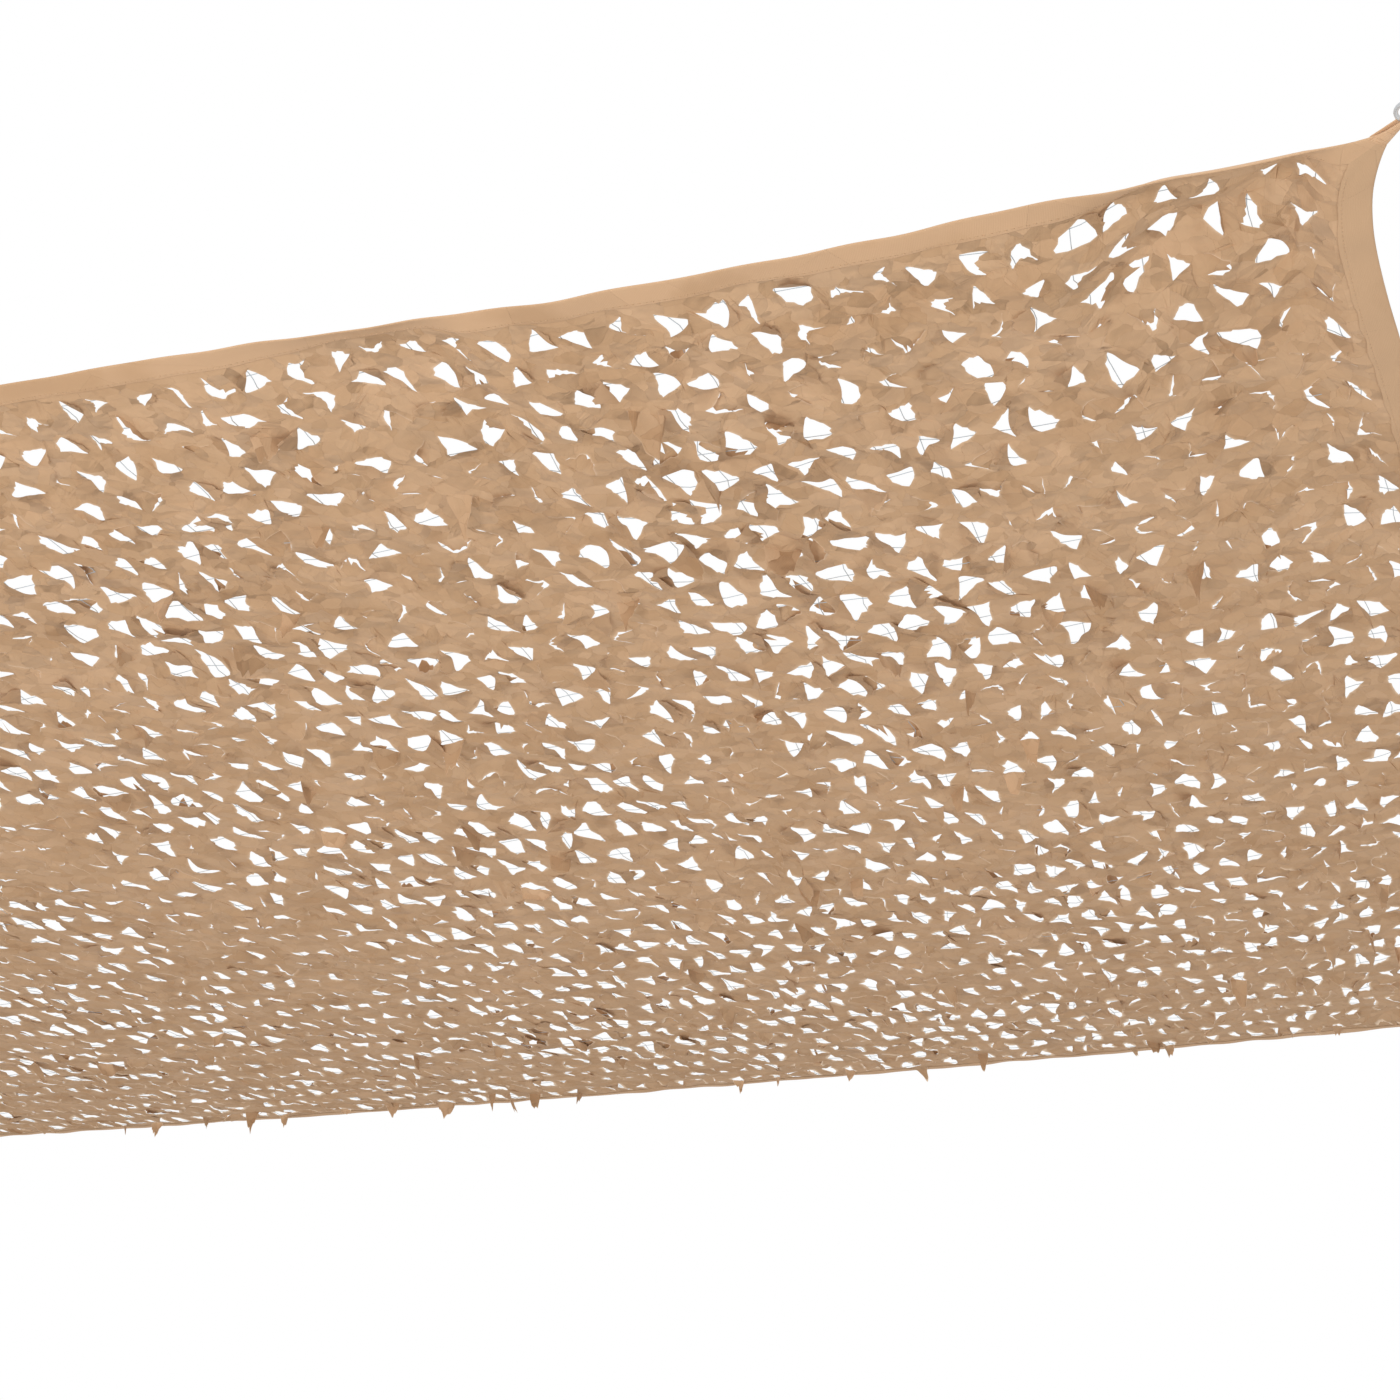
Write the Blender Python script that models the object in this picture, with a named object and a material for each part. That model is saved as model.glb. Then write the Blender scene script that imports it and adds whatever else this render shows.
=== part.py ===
# Shade sail of leaf-cut cloth, hung by a ring at each of its four drawn-out corners.
# Metres, +Z up. X runs along the long sides and Y from the near side to the far one.
# The origin is the middle of the whole sail's box.
# Every cloth piece is drawn flat, as it is cut, and then carried to the shape in which
# the sail hangs by the one function hung_point.

import bpy
import math
import random
from mathutils import Vector
from mathutils.geometry import delaunay_2d_cdt

# Cut size, tip to tip
LENGTH = 4.0
WIDTH = 3.0
HALF_LENGTH = LENGTH / 2
HALF_WIDTH = WIDTH / 2

# Thicknesses and clearances
CLOTH = 0.002
TAPE = 0.001
GAP = 0.0004
MITRE_GAP = 0.0005

# The edges in the order in which they follow one another round the sail
EDGES = ("near", "right", "far", "left")

# Binding tape, folded over the edge of the cloth
BAND_WIDTH = 0.030
MITRE_RUN = 0.12
BAND_INNER = CLOTH / 2 + GAP
BAND_OUTER = BAND_INNER + TAPE
CLOTH_INSET = TAPE + GAP

# Spacing of the stations along an edge, from a corner to the middle
STATION_START = 0.016
STATION_GROWTH = 1.26
STATION_MOST = 0.15

# Drawn-out corners: how far the edge falls back from the tip, over which length it
# does so, and over which length it comes out again
LONG_DRAW, LONG_RISE, LONG_REACH = 0.024, 0.031, 0.60
SIDE_DRAW, SIDE_RISE, SIDE_REACH = 0.173, 0.327, 0.20
EDGE_FADE = 4

# Bow of the edges in plan, and sag
NEAR_BOW, FAR_BOW, SIDE_BOW = 0.0086, 0.031, 0.009
NEAR_SAG, FAR_SAG, SIDE_SAG = 0.0, 0.0234, 0.029
BELLY = 0.022

# Slack wave along the near edge
WAVE_HEIGHT, WAVE_LENGTH, WAVE_START, WAVE_RISE, WAVE_FADE = 0.010, 1.32, 0.3193, 0.3, 0.5

# Creases that fan out from each corner
FAN_HEIGHT, FAN_REACH, FAN_COUNT, FAN_SHARPNESS = 0.010, 0.22, 5, 4

# The near edge's rolls: how far from the right corner each starts, reaches its full
# height, starts to fall and ends, and that height
ROLL_WIDTH, ROLL_FADE = 0.062, 0.30
ROLL_COLUMNS = ("start", "full", "fall", "end", "height")
ROLLS = (
    (0.032, 0.070, 0.165, 0.27, 0.046),
    (0.77, 0.82, 0.89, 1.02, 0.028),
)

# Long soft folds of the cloth: from (a, b) to (a, b), height and width
FOLD_COLUMNS = ("a0", "b0", "a1", "b1", "height", "width")
FOLDS = (
    (0.55, -1.25, 1.15, 0.35, 0.012, 0.10),
    (-0.35, -1.10, 0.60, 0.55, -0.012, 0.14),
    (-1.20, -0.90, 0.05, 0.95, 0.011, 0.13),
    (-1.75, -0.60, -0.85, 1.05, -0.012, 0.12),
    (1.30, -0.75, 1.60, 0.95, -0.010, 0.11),
)

# Leaf cuts: one to a cell of this grid, inside the binding; the rows grow longer
# towards the far side
COLUMNS, ROWS, ROW_GROWTH = 100, 36, 0.38
FIELD_MARGIN = 0.034
KNOT_SHIFT, KNOT_SEED = 0.17, 1009
CUT_REACH = 0.90
CUT_SEED = 7000003

# A leaf cut's size as a share of its cell: the least, the most and the commonest
SIZE_LOW, SIZE_HIGH, SIZE_COMMON, SIZE_LEAST = 0.34, 1.0, 0.66, 0.22

# How its hinge is turned, and the share of the cuts that lie across the others
TURN_SPREAD, CROSS_SHARE = math.radians(30), 0.26

# Its hinge's half length, its depth, where its peak leans and how round it is
HINGE_HALF = 0.86
DEPTH_RANGE, LEAN_RANGE, ROUND_RANGE = (1.06, 1.68), (0.22, 0.78), (0.0, 0.50)
ROUND_POWER = 0.7

# Patches where the cuts lie more open (positive) or more closed (negative)
PATCH_COLUMNS = ("a", "b", "radius", "change")
PATCHES = (
    (1.96, -1.41, 0.07, -0.80),
    (1.93, -1.13, 0.13, -0.40),
    (1.59, -1.37, 0.10, -0.22),
    (1.41, -0.84, 0.18, 0.98),
    (1.62, -0.94, 0.20, -0.30),
    (1.38, -1.18, 0.13, 0.36),
    (1.30, -0.46, 0.13, 0.30),
    (1.92, -0.28, 0.13, 0.44),
    (1.74, -0.36, 0.13, -0.34),
    (1.86, -0.08, 0.11, -0.28),
    (1.04, -1.12, 0.13, -0.22),
    (1.09, -0.79, 0.11, -0.18),
    (1.43, -0.51, 0.12, -0.20),
    (1.17, -0.34, 0.12, -0.26),
    (0.70, -1.06, 0.15, 0.30),
    (0.47, -1.03, 0.12, -0.36),
    (0.75, -0.81, 0.12, 0.24),
    (0.66, -0.78, 0.42, 0.15),
    (0.74, -0.46, 0.13, -0.24),
    (0.90, -0.30, 0.13, 0.30),
    (0.66, -0.22, 0.13, 0.36),
    (0.51, 0.10, 0.12, 0.22),
    (0.03, -0.40, 0.14, -0.34),
    (0.98, 0.34, 0.30, 0.14),
    (1.45, 0.32, 0.13, 0.52),
    (1.85, 0.27, 0.12, -0.20),
    (0.06, 0.30, 0.32, -0.22),
    (-0.47, 0.31, 0.14, 0.34),
    (-0.61, 0.81, 0.14, 0.26),
    (1.07, 0.62, 0.13, -0.38),
    (0.86, 0.85, 0.14, 0.34),
    (1.06, 1.06, 0.13, 0.34),
    (0.34, 0.89, 0.13, 1.02),
    (0.51, 1.11, 0.12, 0.20),
    (0.15, 1.05, 0.12, -0.60),
    (0.34, 1.30, 0.20, -0.26),
    (1.86, 0.98, 0.13, 0.34),
    (1.70, 1.22, 0.36, -0.18),
    (-0.22, 1.22, 0.42, -0.16),
    (-0.94, 1.14, 0.16, -0.28),
    (-0.30, -0.95, 0.26, -0.24),
    (-0.95, -0.55, 0.34, 0.10),
    (-1.50, 0.30, 0.34, -0.22),
    (-1.35, -1.10, 0.28, 0.16),
    (0.55, -0.73, 0.13, -0.50),
    (0.21, -0.05, 0.13, -0.50),
    (0.65, -1.29, 0.13, -0.30),
    (0.83, -1.01, 0.13, -0.45),
    (1.63, 0.31, 0.13, -0.27),
    (-0.07, 1.37, 0.13, 0.23),
    (-1.19, 1.37, 0.13, -0.23),
    (-0.59, 0.49, 0.13, -0.46),
    (0.39, -0.57, 0.13, 0.22),
    (-0.09, -0.23, 0.13, 0.39),
    (-0.83, 0.83, 0.13, -0.43),
    (0.13, -0.55, 0.13, -0.36),
    (-0.73, 0.69, 0.13, 0.39),
    (0.35, 0.19, 0.13, -0.20),
    (1.61, -0.63, 0.13, -0.19),
    (0.67, -0.89, 0.13, 0.19),
    (0.51, 1.37, 0.13, -0.34),
    (0.91, -1.43, 0.13, -0.18),
    (1.15, 1.37, 0.13, -0.18),
    (0.85, 1.05, 0.13, -0.18),
    (-0.39, 0.45, 0.13, 0.33),
    (1.13, -0.51, 0.13, -0.17),
    (1.85, 0.15, 0.13, 0.17),
    (-0.23, -0.03, 0.13, -0.20),
    (0.85, -1.23, 0.13, 0.17),
    (-0.35, 1.01, 0.13, 0.16),
    (1.01, -0.05, 0.13, -0.16),
    (0.25, -0.71, 0.13, 0.16),
    (1.75, 1.37, 0.13, -0.16),
    (-0.09, 1.27, 0.13, 0.16),
    (-0.15, 0.99, 0.13, -0.15),
    (0.15, 0.69, 0.13, -0.15),
    (-0.97, 1.37, 0.13, 0.15),
    (1.33, 0.85, 0.13, -0.15),
    (0.69, 0.11, 0.13, -0.15),
    (-0.41, 0.71, 0.13, -0.15),
)

# The gaps cut through the solid: the largest of each block of cells
BLOCK_COLUMNS, BLOCK_ROWS = 4, 3
ARC_STEPS = 4

# Loose points that let the solid follow its folds
WIDE_STEP, FINE_STEP, FINE_REACH, CLEAR_OF_CUT = 0.195, 0.065, 0.55, 0.036

# Corner rings and the tabs that hold them
RING_RADIUS, RING_WIRE, RING_STEPS, WIRE_STEPS = 0.0128, 0.0018, 28, 8
LAP_WIDTH, LOOP_WIDTH, TAB_LAP = 0.014, 0.005, 0.026
TAB_CLEAR = 0.0005
WIRE_CLEAR = 0.00035
TIP_CLEAR = 0.0019
TURN_STEPS = 6

# Colours, roughness and metallic value
CLOTH_LOOK = ("#B8946F", 0.85, 0.0)
BAND_LOOK = ("#CDA881", 0.80, 0.0)
TAB_LOOK = ("#BE9C70", 0.80, 0.0)
STEEL_LOOK = ("#C3C8CC", 0.25, 1.0)

# Difference step for slopes, and the distance at which flat points count as one
SLOPE_STEP = 0.001
SAME_POINT = 1e-6


def clear_scene():
    for thing in list(bpy.data.objects):
        bpy.data.objects.remove(thing, do_unlink=True)


def drawn_back(distance, draw, rise, reach):
    """How far an edge lies behind its tips, at a distance from the nearer tip."""
    return draw * (1 - math.exp(-distance / rise)) * math.exp(-distance / reach)


def smooth_step(value):
    value = min(max(value, 0.0), 1.0)
    return value * value * (3 - 2 * value)


def fold_height(a, b):
    """The long soft folds, each a ridge or trough that dies out at its ends."""
    total = 0.0
    for row in FOLDS:
        fold = dict(zip(FOLD_COLUMNS, row))
        run_a, run_b = fold["a1"] - fold["a0"], fold["b1"] - fold["b0"]
        length = math.hypot(run_a, run_b)
        off_a, off_b = a - fold["a0"], b - fold["b0"]
        along = (off_a * run_a + off_b * run_b) / length ** 2
        across = (off_a * run_b - off_b * run_a) / length
        if 0.0 < along < 1.0:
            ends = math.sin(math.pi * along) ** 2
            total += fold["height"] * ends * math.exp(-((across / fold["width"]) ** 2))
    return total


def fan_height(from_side, from_long):
    """Creases that fan out from a corner, flat along both edges and at the tip."""
    reach = math.hypot(from_side, from_long)
    angle = math.atan2(from_long, from_side)
    spread = reach / FAN_REACH
    swell = spread ** FAN_SHARPNESS * math.exp(FAN_SHARPNESS * (1 - spread))
    return FAN_HEIGHT * swell * math.sin(2 * angle) ** 2 * math.cos(2 * FAN_COUNT * angle)


def roll_height(from_right, from_near):
    """The near edge's rolls: the cloth climbs steeply from the edge and sinks slowly."""
    climb = math.tanh(from_near / ROLL_WIDTH) * math.exp(-from_near / ROLL_FADE)
    total = 0.0
    for row in ROLLS:
        roll = dict(zip(ROLL_COLUMNS, row))
        rise = smooth_step((from_right - roll["start"]) / (roll["full"] - roll["start"]))
        fall = 1 - smooth_step((from_right - roll["fall"]) / (roll["end"] - roll["fall"]))
        total += roll["height"] * rise * fall
    return total * climb


def hung_point(a, b):
    """Where a point (a, b) of the flat cut cloth lies on the hung sail."""
    s, t = a / HALF_LENGTH, b / HALF_WIDTH
    from_side, from_long = HALF_LENGTH - abs(a), HALF_WIDTH - abs(b)
    from_near, from_right = HALF_WIDTH + b, HALF_LENGTH - a
    far_share = (1 + t) / 2
    long_bow = NEAR_BOW + (FAR_BOW - NEAR_BOW) * far_share
    long_back = drawn_back(from_side, LONG_DRAW, LONG_RISE, LONG_REACH) + long_bow * (1 - s * s)
    side_back = drawn_back(from_long, SIDE_DRAW, SIDE_RISE, SIDE_REACH) + SIDE_BOW * (1 - t * t)
    x = a - math.copysign(abs(s) ** EDGE_FADE * side_back, a)
    y = b - math.copysign(abs(t) ** EDGE_FADE * long_back, b)
    sag = (NEAR_SAG + (FAR_SAG - NEAR_SAG) * far_share) * (1 - s * s)
    sag += SIDE_SAG * (1 - t * t) + BELLY * (1 - s * s) * (1 - t * t)
    wave = WAVE_HEIGHT * math.sin(2 * math.pi * (from_right / WAVE_LENGTH + WAVE_START))
    wave *= (1 - math.exp(-from_side / WAVE_RISE)) * math.exp(-from_near / WAVE_FADE)
    folds = fold_height(a, b) + fan_height(from_side, from_long)
    return Vector((x, y, wave + folds + roll_height(from_right, from_near) - sag))


def hung_normal(a, b):
    """The upward normal of the hung cloth at a point of the flat cut."""
    along = hung_point(a + SLOPE_STEP, b) - hung_point(a - SLOPE_STEP, b)
    across = hung_point(a, b + SLOPE_STEP) - hung_point(a, b - SLOPE_STEP)
    return along.cross(across).normalized()


def openness(a, b):
    """How far the cuts gape at a place: 0 is the general run of the cloth."""
    total = 0.0
    for row in PATCHES:
        patch = dict(zip(PATCH_COLUMNS, row))
        distance = math.hypot(a - patch["a"], b - patch["b"]) / patch["radius"]
        total += patch["change"] * math.exp(-distance * distance)
    return total


def grid_knot(column, row):
    """A corner of the cells, shifted a little unless it lies on the field's border."""
    draw = random.Random(column * KNOT_SEED + row)
    shift_a, shift_b = draw.uniform(-1, 1), draw.uniform(-1, 1)
    if column in (0, COLUMNS):
        shift_a = 0.0
    if row in (0, ROWS):
        shift_b = 0.0
    share_a = (column + KNOT_SHIFT * shift_a) / COLUMNS
    share_b = (row + KNOT_SHIFT * shift_b) / ROWS
    share_b *= 1 + ROW_GROWTH * (share_b - 1)
    a = FIELD_MARGIN - HALF_LENGTH + share_a * (LENGTH - 2 * FIELD_MARGIN)
    b = FIELD_MARGIN - HALF_WIDTH + share_b * (WIDTH - 2 * FIELD_MARGIN)
    return a, b


def cell_point(knots, p, q):
    """A point of a cell, p and q running from -1 to 1 between its four knots."""
    weights = ((1 - p) * (1 - q), (1 + p) * (1 - q), (1 + p) * (1 + q), (1 - p) * (1 + q))
    a = sum(w * knot[0] for w, knot in zip(weights, knots)) / 4
    b = sum(w * knot[1] for w, knot in zip(weights, knots)) / 4
    return a, b


def cell_knots(column, row):
    corners = ((0, 0), (1, 0), (1, 1), (0, 1))
    return [grid_knot(column + i, row + j) for i, j in corners]


def leaf_cut(column, row):
    """One leaf cut: its size, the turn of its hinge, its roundness and its lean."""
    draw = random.Random(CUT_SEED + column * ROWS + row)
    a, b = cell_point(cell_knots(column, row), 0, 0)
    size = draw.triangular(SIZE_LOW, SIZE_HIGH, SIZE_COMMON) + openness(a, b)
    size = min(max(size, SIZE_LEAST), SIZE_HIGH)
    turn = draw.gauss(0, TURN_SPREAD)
    if draw.random() < CROSS_SHARE:
        turn += math.pi / 2
    side = 1 if (column + row) % 2 else -1
    depth = draw.uniform(*DEPTH_RANGE)
    lean = draw.uniform(*LEAN_RANGE)
    round_share = draw.uniform(*ROUND_RANGE)
    return {"size": size, "turn": turn, "side": side, "depth": depth, "lean": lean,
            "round": round_share}


def cut_outline(column, row, steps):
    """The outline of a leaf cut in the flat: a straight hinge and the arc opposite it."""
    cut = leaf_cut(column, row)
    knots = cell_knots(column, row)
    half, deep = HINGE_HALF * cut["size"], cut["depth"] * cut["size"]
    outline = []
    for step in range(steps + 1):
        share = step / steps
        peak = min(share / cut["lean"], (1 - share) / (1 - cut["lean"]))
        arch = math.sin(math.pi * share) ** ROUND_POWER
        bulge = cut["round"] * arch + (1 - cut["round"]) * peak
        along, off = half * (2 * share - 1), cut["side"] * deep * (bulge - 0.5)
        p = off * math.cos(cut["turn"]) + along * math.sin(cut["turn"])
        q = along * math.cos(cut["turn"]) - off * math.sin(cut["turn"])
        pull = min(1.0, CUT_REACH / max(abs(p), abs(q), SAME_POINT))
        outline.append(cell_point(knots, p * pull, q * pull))
    return outline


def signed_area(outline):
    """The area of a flat outline, positive where it runs anticlockwise."""
    pairs = zip(outline, outline[1:] + outline[:1])
    return sum(p[0] * q[1] - q[0] * p[1] for p, q in pairs) / 2


def largest_cuts():
    """The outlines cut through the solid: the largest cut of each block of cells."""
    chosen = []
    steps = [(i, j) for i in range(BLOCK_COLUMNS) for j in range(BLOCK_ROWS)]
    for column in range(0, COLUMNS, BLOCK_COLUMNS):
        for row in range(0, ROWS, BLOCK_ROWS):
            cells = [(column + i, row + j) for i, j in steps]
            outlines = [cut_outline(i, j, ARC_STEPS) for i, j in cells]
            largest = max(outlines, key=lambda outline: abs(signed_area(outline)))
            chosen.append(largest if signed_area(largest) > 0 else largest[::-1])
    return chosen


def edge_stations(length):
    """Distances of the stations along an edge, close together beside the corners."""
    half, step = [0.0], STATION_START
    while half[-1] + step < length / 2 - STATION_MOST / 3:
        half.append(half[-1] + step)
        step = min(step * STATION_GROWTH, STATION_MOST)
    return half + [length / 2] + [length - e for e in reversed(half)]


def edge_length(edge):
    return LENGTH if edge in ("near", "far") else WIDTH


def station_point(edge, distance, inward, mitre):
    """A flat point on a station line of an edge, set in by the mitre at the corners."""
    length = edge_length(edge)
    near_end = max(0.0, 1 - distance / MITRE_RUN)
    far_end = max(0.0, 1 - (length - distance) / MITRE_RUN)
    along = distance + mitre * (near_end - far_end)
    places = {
        "near": (along - HALF_LENGTH, inward - HALF_WIDTH),
        "right": (HALF_LENGTH - inward, along - HALF_WIDTH),
        "far": (HALF_LENGTH - along, HALF_WIDTH - inward),
        "left": (inward - HALF_LENGTH, HALF_WIDTH - along),
    }
    return places[edge]


def make_material(name, look):
    colour, roughness, metallic = look
    channels = [int(colour[i:i + 2], 16) / 255 for i in (1, 3, 5)]
    linear = [c / 12.92 if c <= 0.04045 else ((c + 0.055) / 1.055) ** 2.4 for c in channels]
    material = bpy.data.materials.new(name)
    material.use_nodes = True
    shader = material.node_tree.nodes["Principled BSDF"]
    shader.inputs["Base Color"].default_value = (*linear, 1.0)
    shader.inputs["Roughness"].default_value = roughness
    shader.inputs["Metallic"].default_value = metallic
    return material


def make_object(name, points, faces, material, smooth=False):
    mesh = bpy.data.meshes.new(name)
    mesh.from_pydata([tuple(point) for point in points], [], faces)
    mesh.materials.append(material)
    if smooth:
        mesh.shade_smooth()
    thing = bpy.data.objects.new(name, mesh)
    bpy.context.scene.collection.objects.link(thing)
    return thing


def border_rows():
    """The flat points of the cloth's outer row and of the row at the binding's inner edge."""
    outer, inner = [], []
    for edge in EDGES:
        for distance in edge_stations(edge_length(edge))[:-1]:
            outer.append(station_point(edge, distance, CLOTH_INSET, CLOTH_INSET))
            inner.append(station_point(edge, distance, BAND_WIDTH, BAND_WIDTH))
    return outer, inner


def loose_points(cuts):
    """Points between the cuts: a wide lattice, and a fine one beside the corners."""
    middles = [(sum(p[0] for p in cut) / len(cut), sum(p[1] for p in cut) / len(cut))
               for cut in cuts]
    points = []
    for step, fine in ((WIDE_STEP, False), (FINE_STEP, True)):
        for i in range(1, int(LENGTH / step)):
            for j in range(1, int(WIDTH / step)):
                a, b = i * step - HALF_LENGTH, j * step - HALF_WIDTH
                from_side, from_long = HALF_LENGTH - abs(a), HALF_WIDTH - abs(b)
                near_corner = math.hypot(from_side, from_long) < FINE_REACH
                inside = min(from_side, from_long) > BAND_WIDTH + step / 4
                clear = all(math.hypot(a - m[0], b - m[1]) > CLEAR_OF_CUT for m in middles)
                if near_corner == fine and inside and clear:
                    points.append((a, b))
    return points


def flat_triangles(cuts):
    """The cloth's flat points and triangles, with the cuts left open."""
    outer, inner = border_rows()
    count = len(outer)
    flat = outer + inner + loose_points(cuts)
    links = []
    for i in range(count):
        following = (i + 1) % count
        links += [(i, following), (count + i, count + following)]
        links += [(i, count + i), (i, count + following)]
    openings = []
    for cut in cuts:
        openings.append(list(range(len(flat), len(flat) + len(cut))))
        flat += cut
    vectors = [Vector(point) for point in flat]
    result = delaunay_2d_cdt(vectors, links, openings, 0, SAME_POINT, True)
    points, faces, sources = result[0], result[2], result[5]
    kept = [face for face, source in zip(faces, sources) if not source]
    used = sorted({i for face in kept for i in face})
    number = {old: new for new, old in enumerate(used)}
    triangles = []
    for face in kept:
        p, q, r = (points[i] for i in face)
        turn = (q - p).cross(r - p)
        corners = face if turn > 0 else list(reversed(face))
        triangles.append([number[i] for i in corners])
    return [tuple(points[i]) for i in used], triangles


def make_net(material):
    """The leaf-cut cloth: one sheet with its largest gaps cut through."""
    flat, triangles = flat_triangles(largest_cuts())
    middle = [hung_point(a, b) for a, b in flat]
    normals = [hung_normal(a, b) for a, b in flat]
    top = [p + n * CLOTH / 2 for p, n in zip(middle, normals)]
    bottom = [p - n * CLOTH / 2 for p, n in zip(middle, normals)]
    count = len(flat)
    faces = [list(face) for face in triangles]
    faces += [[count + i for i in reversed(face)] for face in triangles]
    directed = {(face[i], face[i - 2]) for face in triangles for i in range(3)}
    for i, j in sorted(directed):
        if (j, i) not in directed:
            faces += [[j, i, count + i], [j, count + i, count + j]]
    return make_object("leaf_cut_cloth", top + bottom, faces, material)


def make_band(edge, material):
    """One binding tape, folded over the cloth's edge and mitred at both corners."""
    profile = (
        (0.0, -BAND_OUTER), (BAND_WIDTH, -BAND_OUTER), (BAND_WIDTH, -BAND_INNER),
        (TAPE, -BAND_INNER), (TAPE, BAND_INNER), (BAND_WIDTH, BAND_INNER),
        (BAND_WIDTH, BAND_OUTER), (0.0, BAND_OUTER),
    )
    points = []
    stations = edge_stations(edge_length(edge))
    for distance in stations:
        for inward, height in profile:
            a, b = station_point(edge, distance, inward, inward + MITRE_GAP)
            points.append(hung_point(a, b) + hung_normal(a, b) * height)
    around = len(profile)
    faces = []
    for station in range(len(stations) - 1):
        start, following = station * around, (station + 1) * around
        for i in range(around):
            j = (i + 1) % around
            corners = [start + i, start + j, following + j, following + i]
            if profile[i][0] > profile[j][0]:
                corners = corners[1:] + corners[:1]
            faces += [corners[:3], [corners[0], corners[2], corners[3]]]
    last = (len(stations) - 1) * around
    legs = ((0, 1, 2, 3), (0, 3, 4, 7), (4, 5, 6, 7))
    faces += [list(reversed(leg)) for leg in legs]
    faces += [[last + i for i in leg] for leg in legs]
    return make_object("binding_" + edge, points, faces, material)


def corner_frame(side_a, side_b):
    """The tip of a corner, the way out along the diagonal, the width and the normal."""
    a, b = side_a * HALF_LENGTH, side_b * HALF_WIDTH
    tip = hung_point(a, b)
    a, b = a - side_a * TAB_LAP / 2, b - side_b * TAB_LAP / 2
    outward = (tip - hung_point(a, b)).normalized()
    normal = hung_normal(a, b)
    normal = (normal - outward * normal.dot(outward)).normalized()
    return tip, outward, normal.cross(outward), normal


def make_ring(name, frame, material):
    """A round steel ring, lying in the plane of the corner."""
    tip, outward, across, normal = frame
    centre = tip + outward * ring_offset()
    points, faces = [], []
    for i in range(RING_STEPS):
        turn = 2 * math.pi * i / RING_STEPS
        spoke = outward * math.cos(turn) + across * math.sin(turn)
        for j in range(WIRE_STEPS):
            bend = 2 * math.pi * j / WIRE_STEPS
            radius = RING_RADIUS + RING_WIRE * math.cos(bend)
            points.append(centre + spoke * radius + normal * RING_WIRE * math.sin(bend))
    for i in range(RING_STEPS):
        for j in range(WIRE_STEPS):
            i_next, j_next = (i + 1) % RING_STEPS, (j + 1) % WIRE_STEPS
            faces.append([i * WIRE_STEPS + j, i_next * WIRE_STEPS + j,
                          i_next * WIRE_STEPS + j_next, i * WIRE_STEPS + j_next])
    return make_object(name, points, faces, material, smooth=True)


def ring_offset():
    """From the tip to the ring's middle: the wire clears the tip inside the tab."""
    return RING_RADIUS + RING_WIRE + TIP_CLEAR


def make_tab(name, frame, material):
    """A pointed tape that laps both faces of the tip and turns round the ring."""
    tip, outward, across, normal = frame
    inner = max(BAND_OUTER + TAB_CLEAR, RING_WIRE + WIRE_CLEAR)
    outer = inner + TAPE
    wire_bow = RING_RADIUS - math.sqrt(RING_RADIUS ** 2 - (LOOP_WIDTH / 2) ** 2)
    turn_at = ring_offset() - RING_RADIUS + wire_bow
    outside = [(-TAB_LAP, -outer), (0.0, -outer)]
    inside = [(-TAB_LAP, -inner), (0.0, -inner)]
    for step in range(TURN_STEPS + 1):
        bend = math.pi * step / TURN_STEPS - math.pi / 2
        outside.append((turn_at + outer * math.cos(bend), outer * math.sin(bend)))
        inside.append((turn_at + inner * math.cos(bend), inner * math.sin(bend)))
    outside += [(0.0, outer), (-TAB_LAP, outer)]
    inside += [(0.0, inner), (-TAB_LAP, inner)]
    rows = len(outside)
    points = []
    for side in (-1, 1):
        for forward, height in outside + inside:
            half = (LAP_WIDTH if forward < 0 else LOOP_WIDTH) / 2
            points.append(tip + outward * forward + across * side * half + normal * height)
    faces = []
    other = 2 * rows
    for i in range(rows - 1):
        faces.append([i + 1, i, other + i, other + i + 1])
        faces.append([rows + i, rows + i + 1, other + rows + i + 1, other + rows + i])
        faces.append([i, i + 1, rows + i + 1, rows + i])
        faces.append([other + i + 1, other + i, other + rows + i, other + rows + i + 1])
    faces.append([0, rows, other + rows, other])
    faces.append([rows - 1, other + rows - 1, other + 2 * rows - 1, 2 * rows - 1])
    return make_object(name, points, faces, material)


def centre_on_origin():
    """Move every piece together, so that the middle of the whole box is the origin."""
    things = list(bpy.data.objects)
    points = [thing.matrix_world @ v.co for thing in things for v in thing.data.vertices]
    low = [min(p[k] for p in points) for k in range(3)]
    high = [max(p[k] for p in points) for k in range(3)]
    middle = Vector([(low[k] + high[k]) / 2 for k in range(3)])
    for thing in things:
        for vertex in thing.data.vertices:
            vertex.co = vertex.co - middle


def main():
    clear_scene()
    cloth = make_material("leaf-cut polyester cloth", CLOTH_LOOK)
    tape = make_material("polyester binding tape", BAND_LOOK)
    webbing = make_material("polyester webbing", TAB_LOOK)
    steel = make_material("stainless steel", STEEL_LOOK)
    make_net(cloth)
    for edge in EDGES:
        make_band(edge, tape)
    for side_b, depth_word in ((-1, "near"), (1, "far")):
        for side_a, side_word in ((-1, "left"), (1, "right")):
            frame = corner_frame(side_a, side_b)
            corner = depth_word + "_" + side_word
            make_tab("corner_tab_" + corner, frame, webbing)
            make_ring("corner_ring_" + corner, frame, steel)
    centre_on_origin()


main()
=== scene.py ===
# A leaf-cut shade sail of sand-coloured polyester, hung level from a ring at each corner.
# Metres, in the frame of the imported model: X along the long sides, Y from the near side to
# the far one, +Z up. Every cloth piece is laid out flat, as it is cut, in (a, b), and then
# carried to the hung shape by the one function hung.

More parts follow.
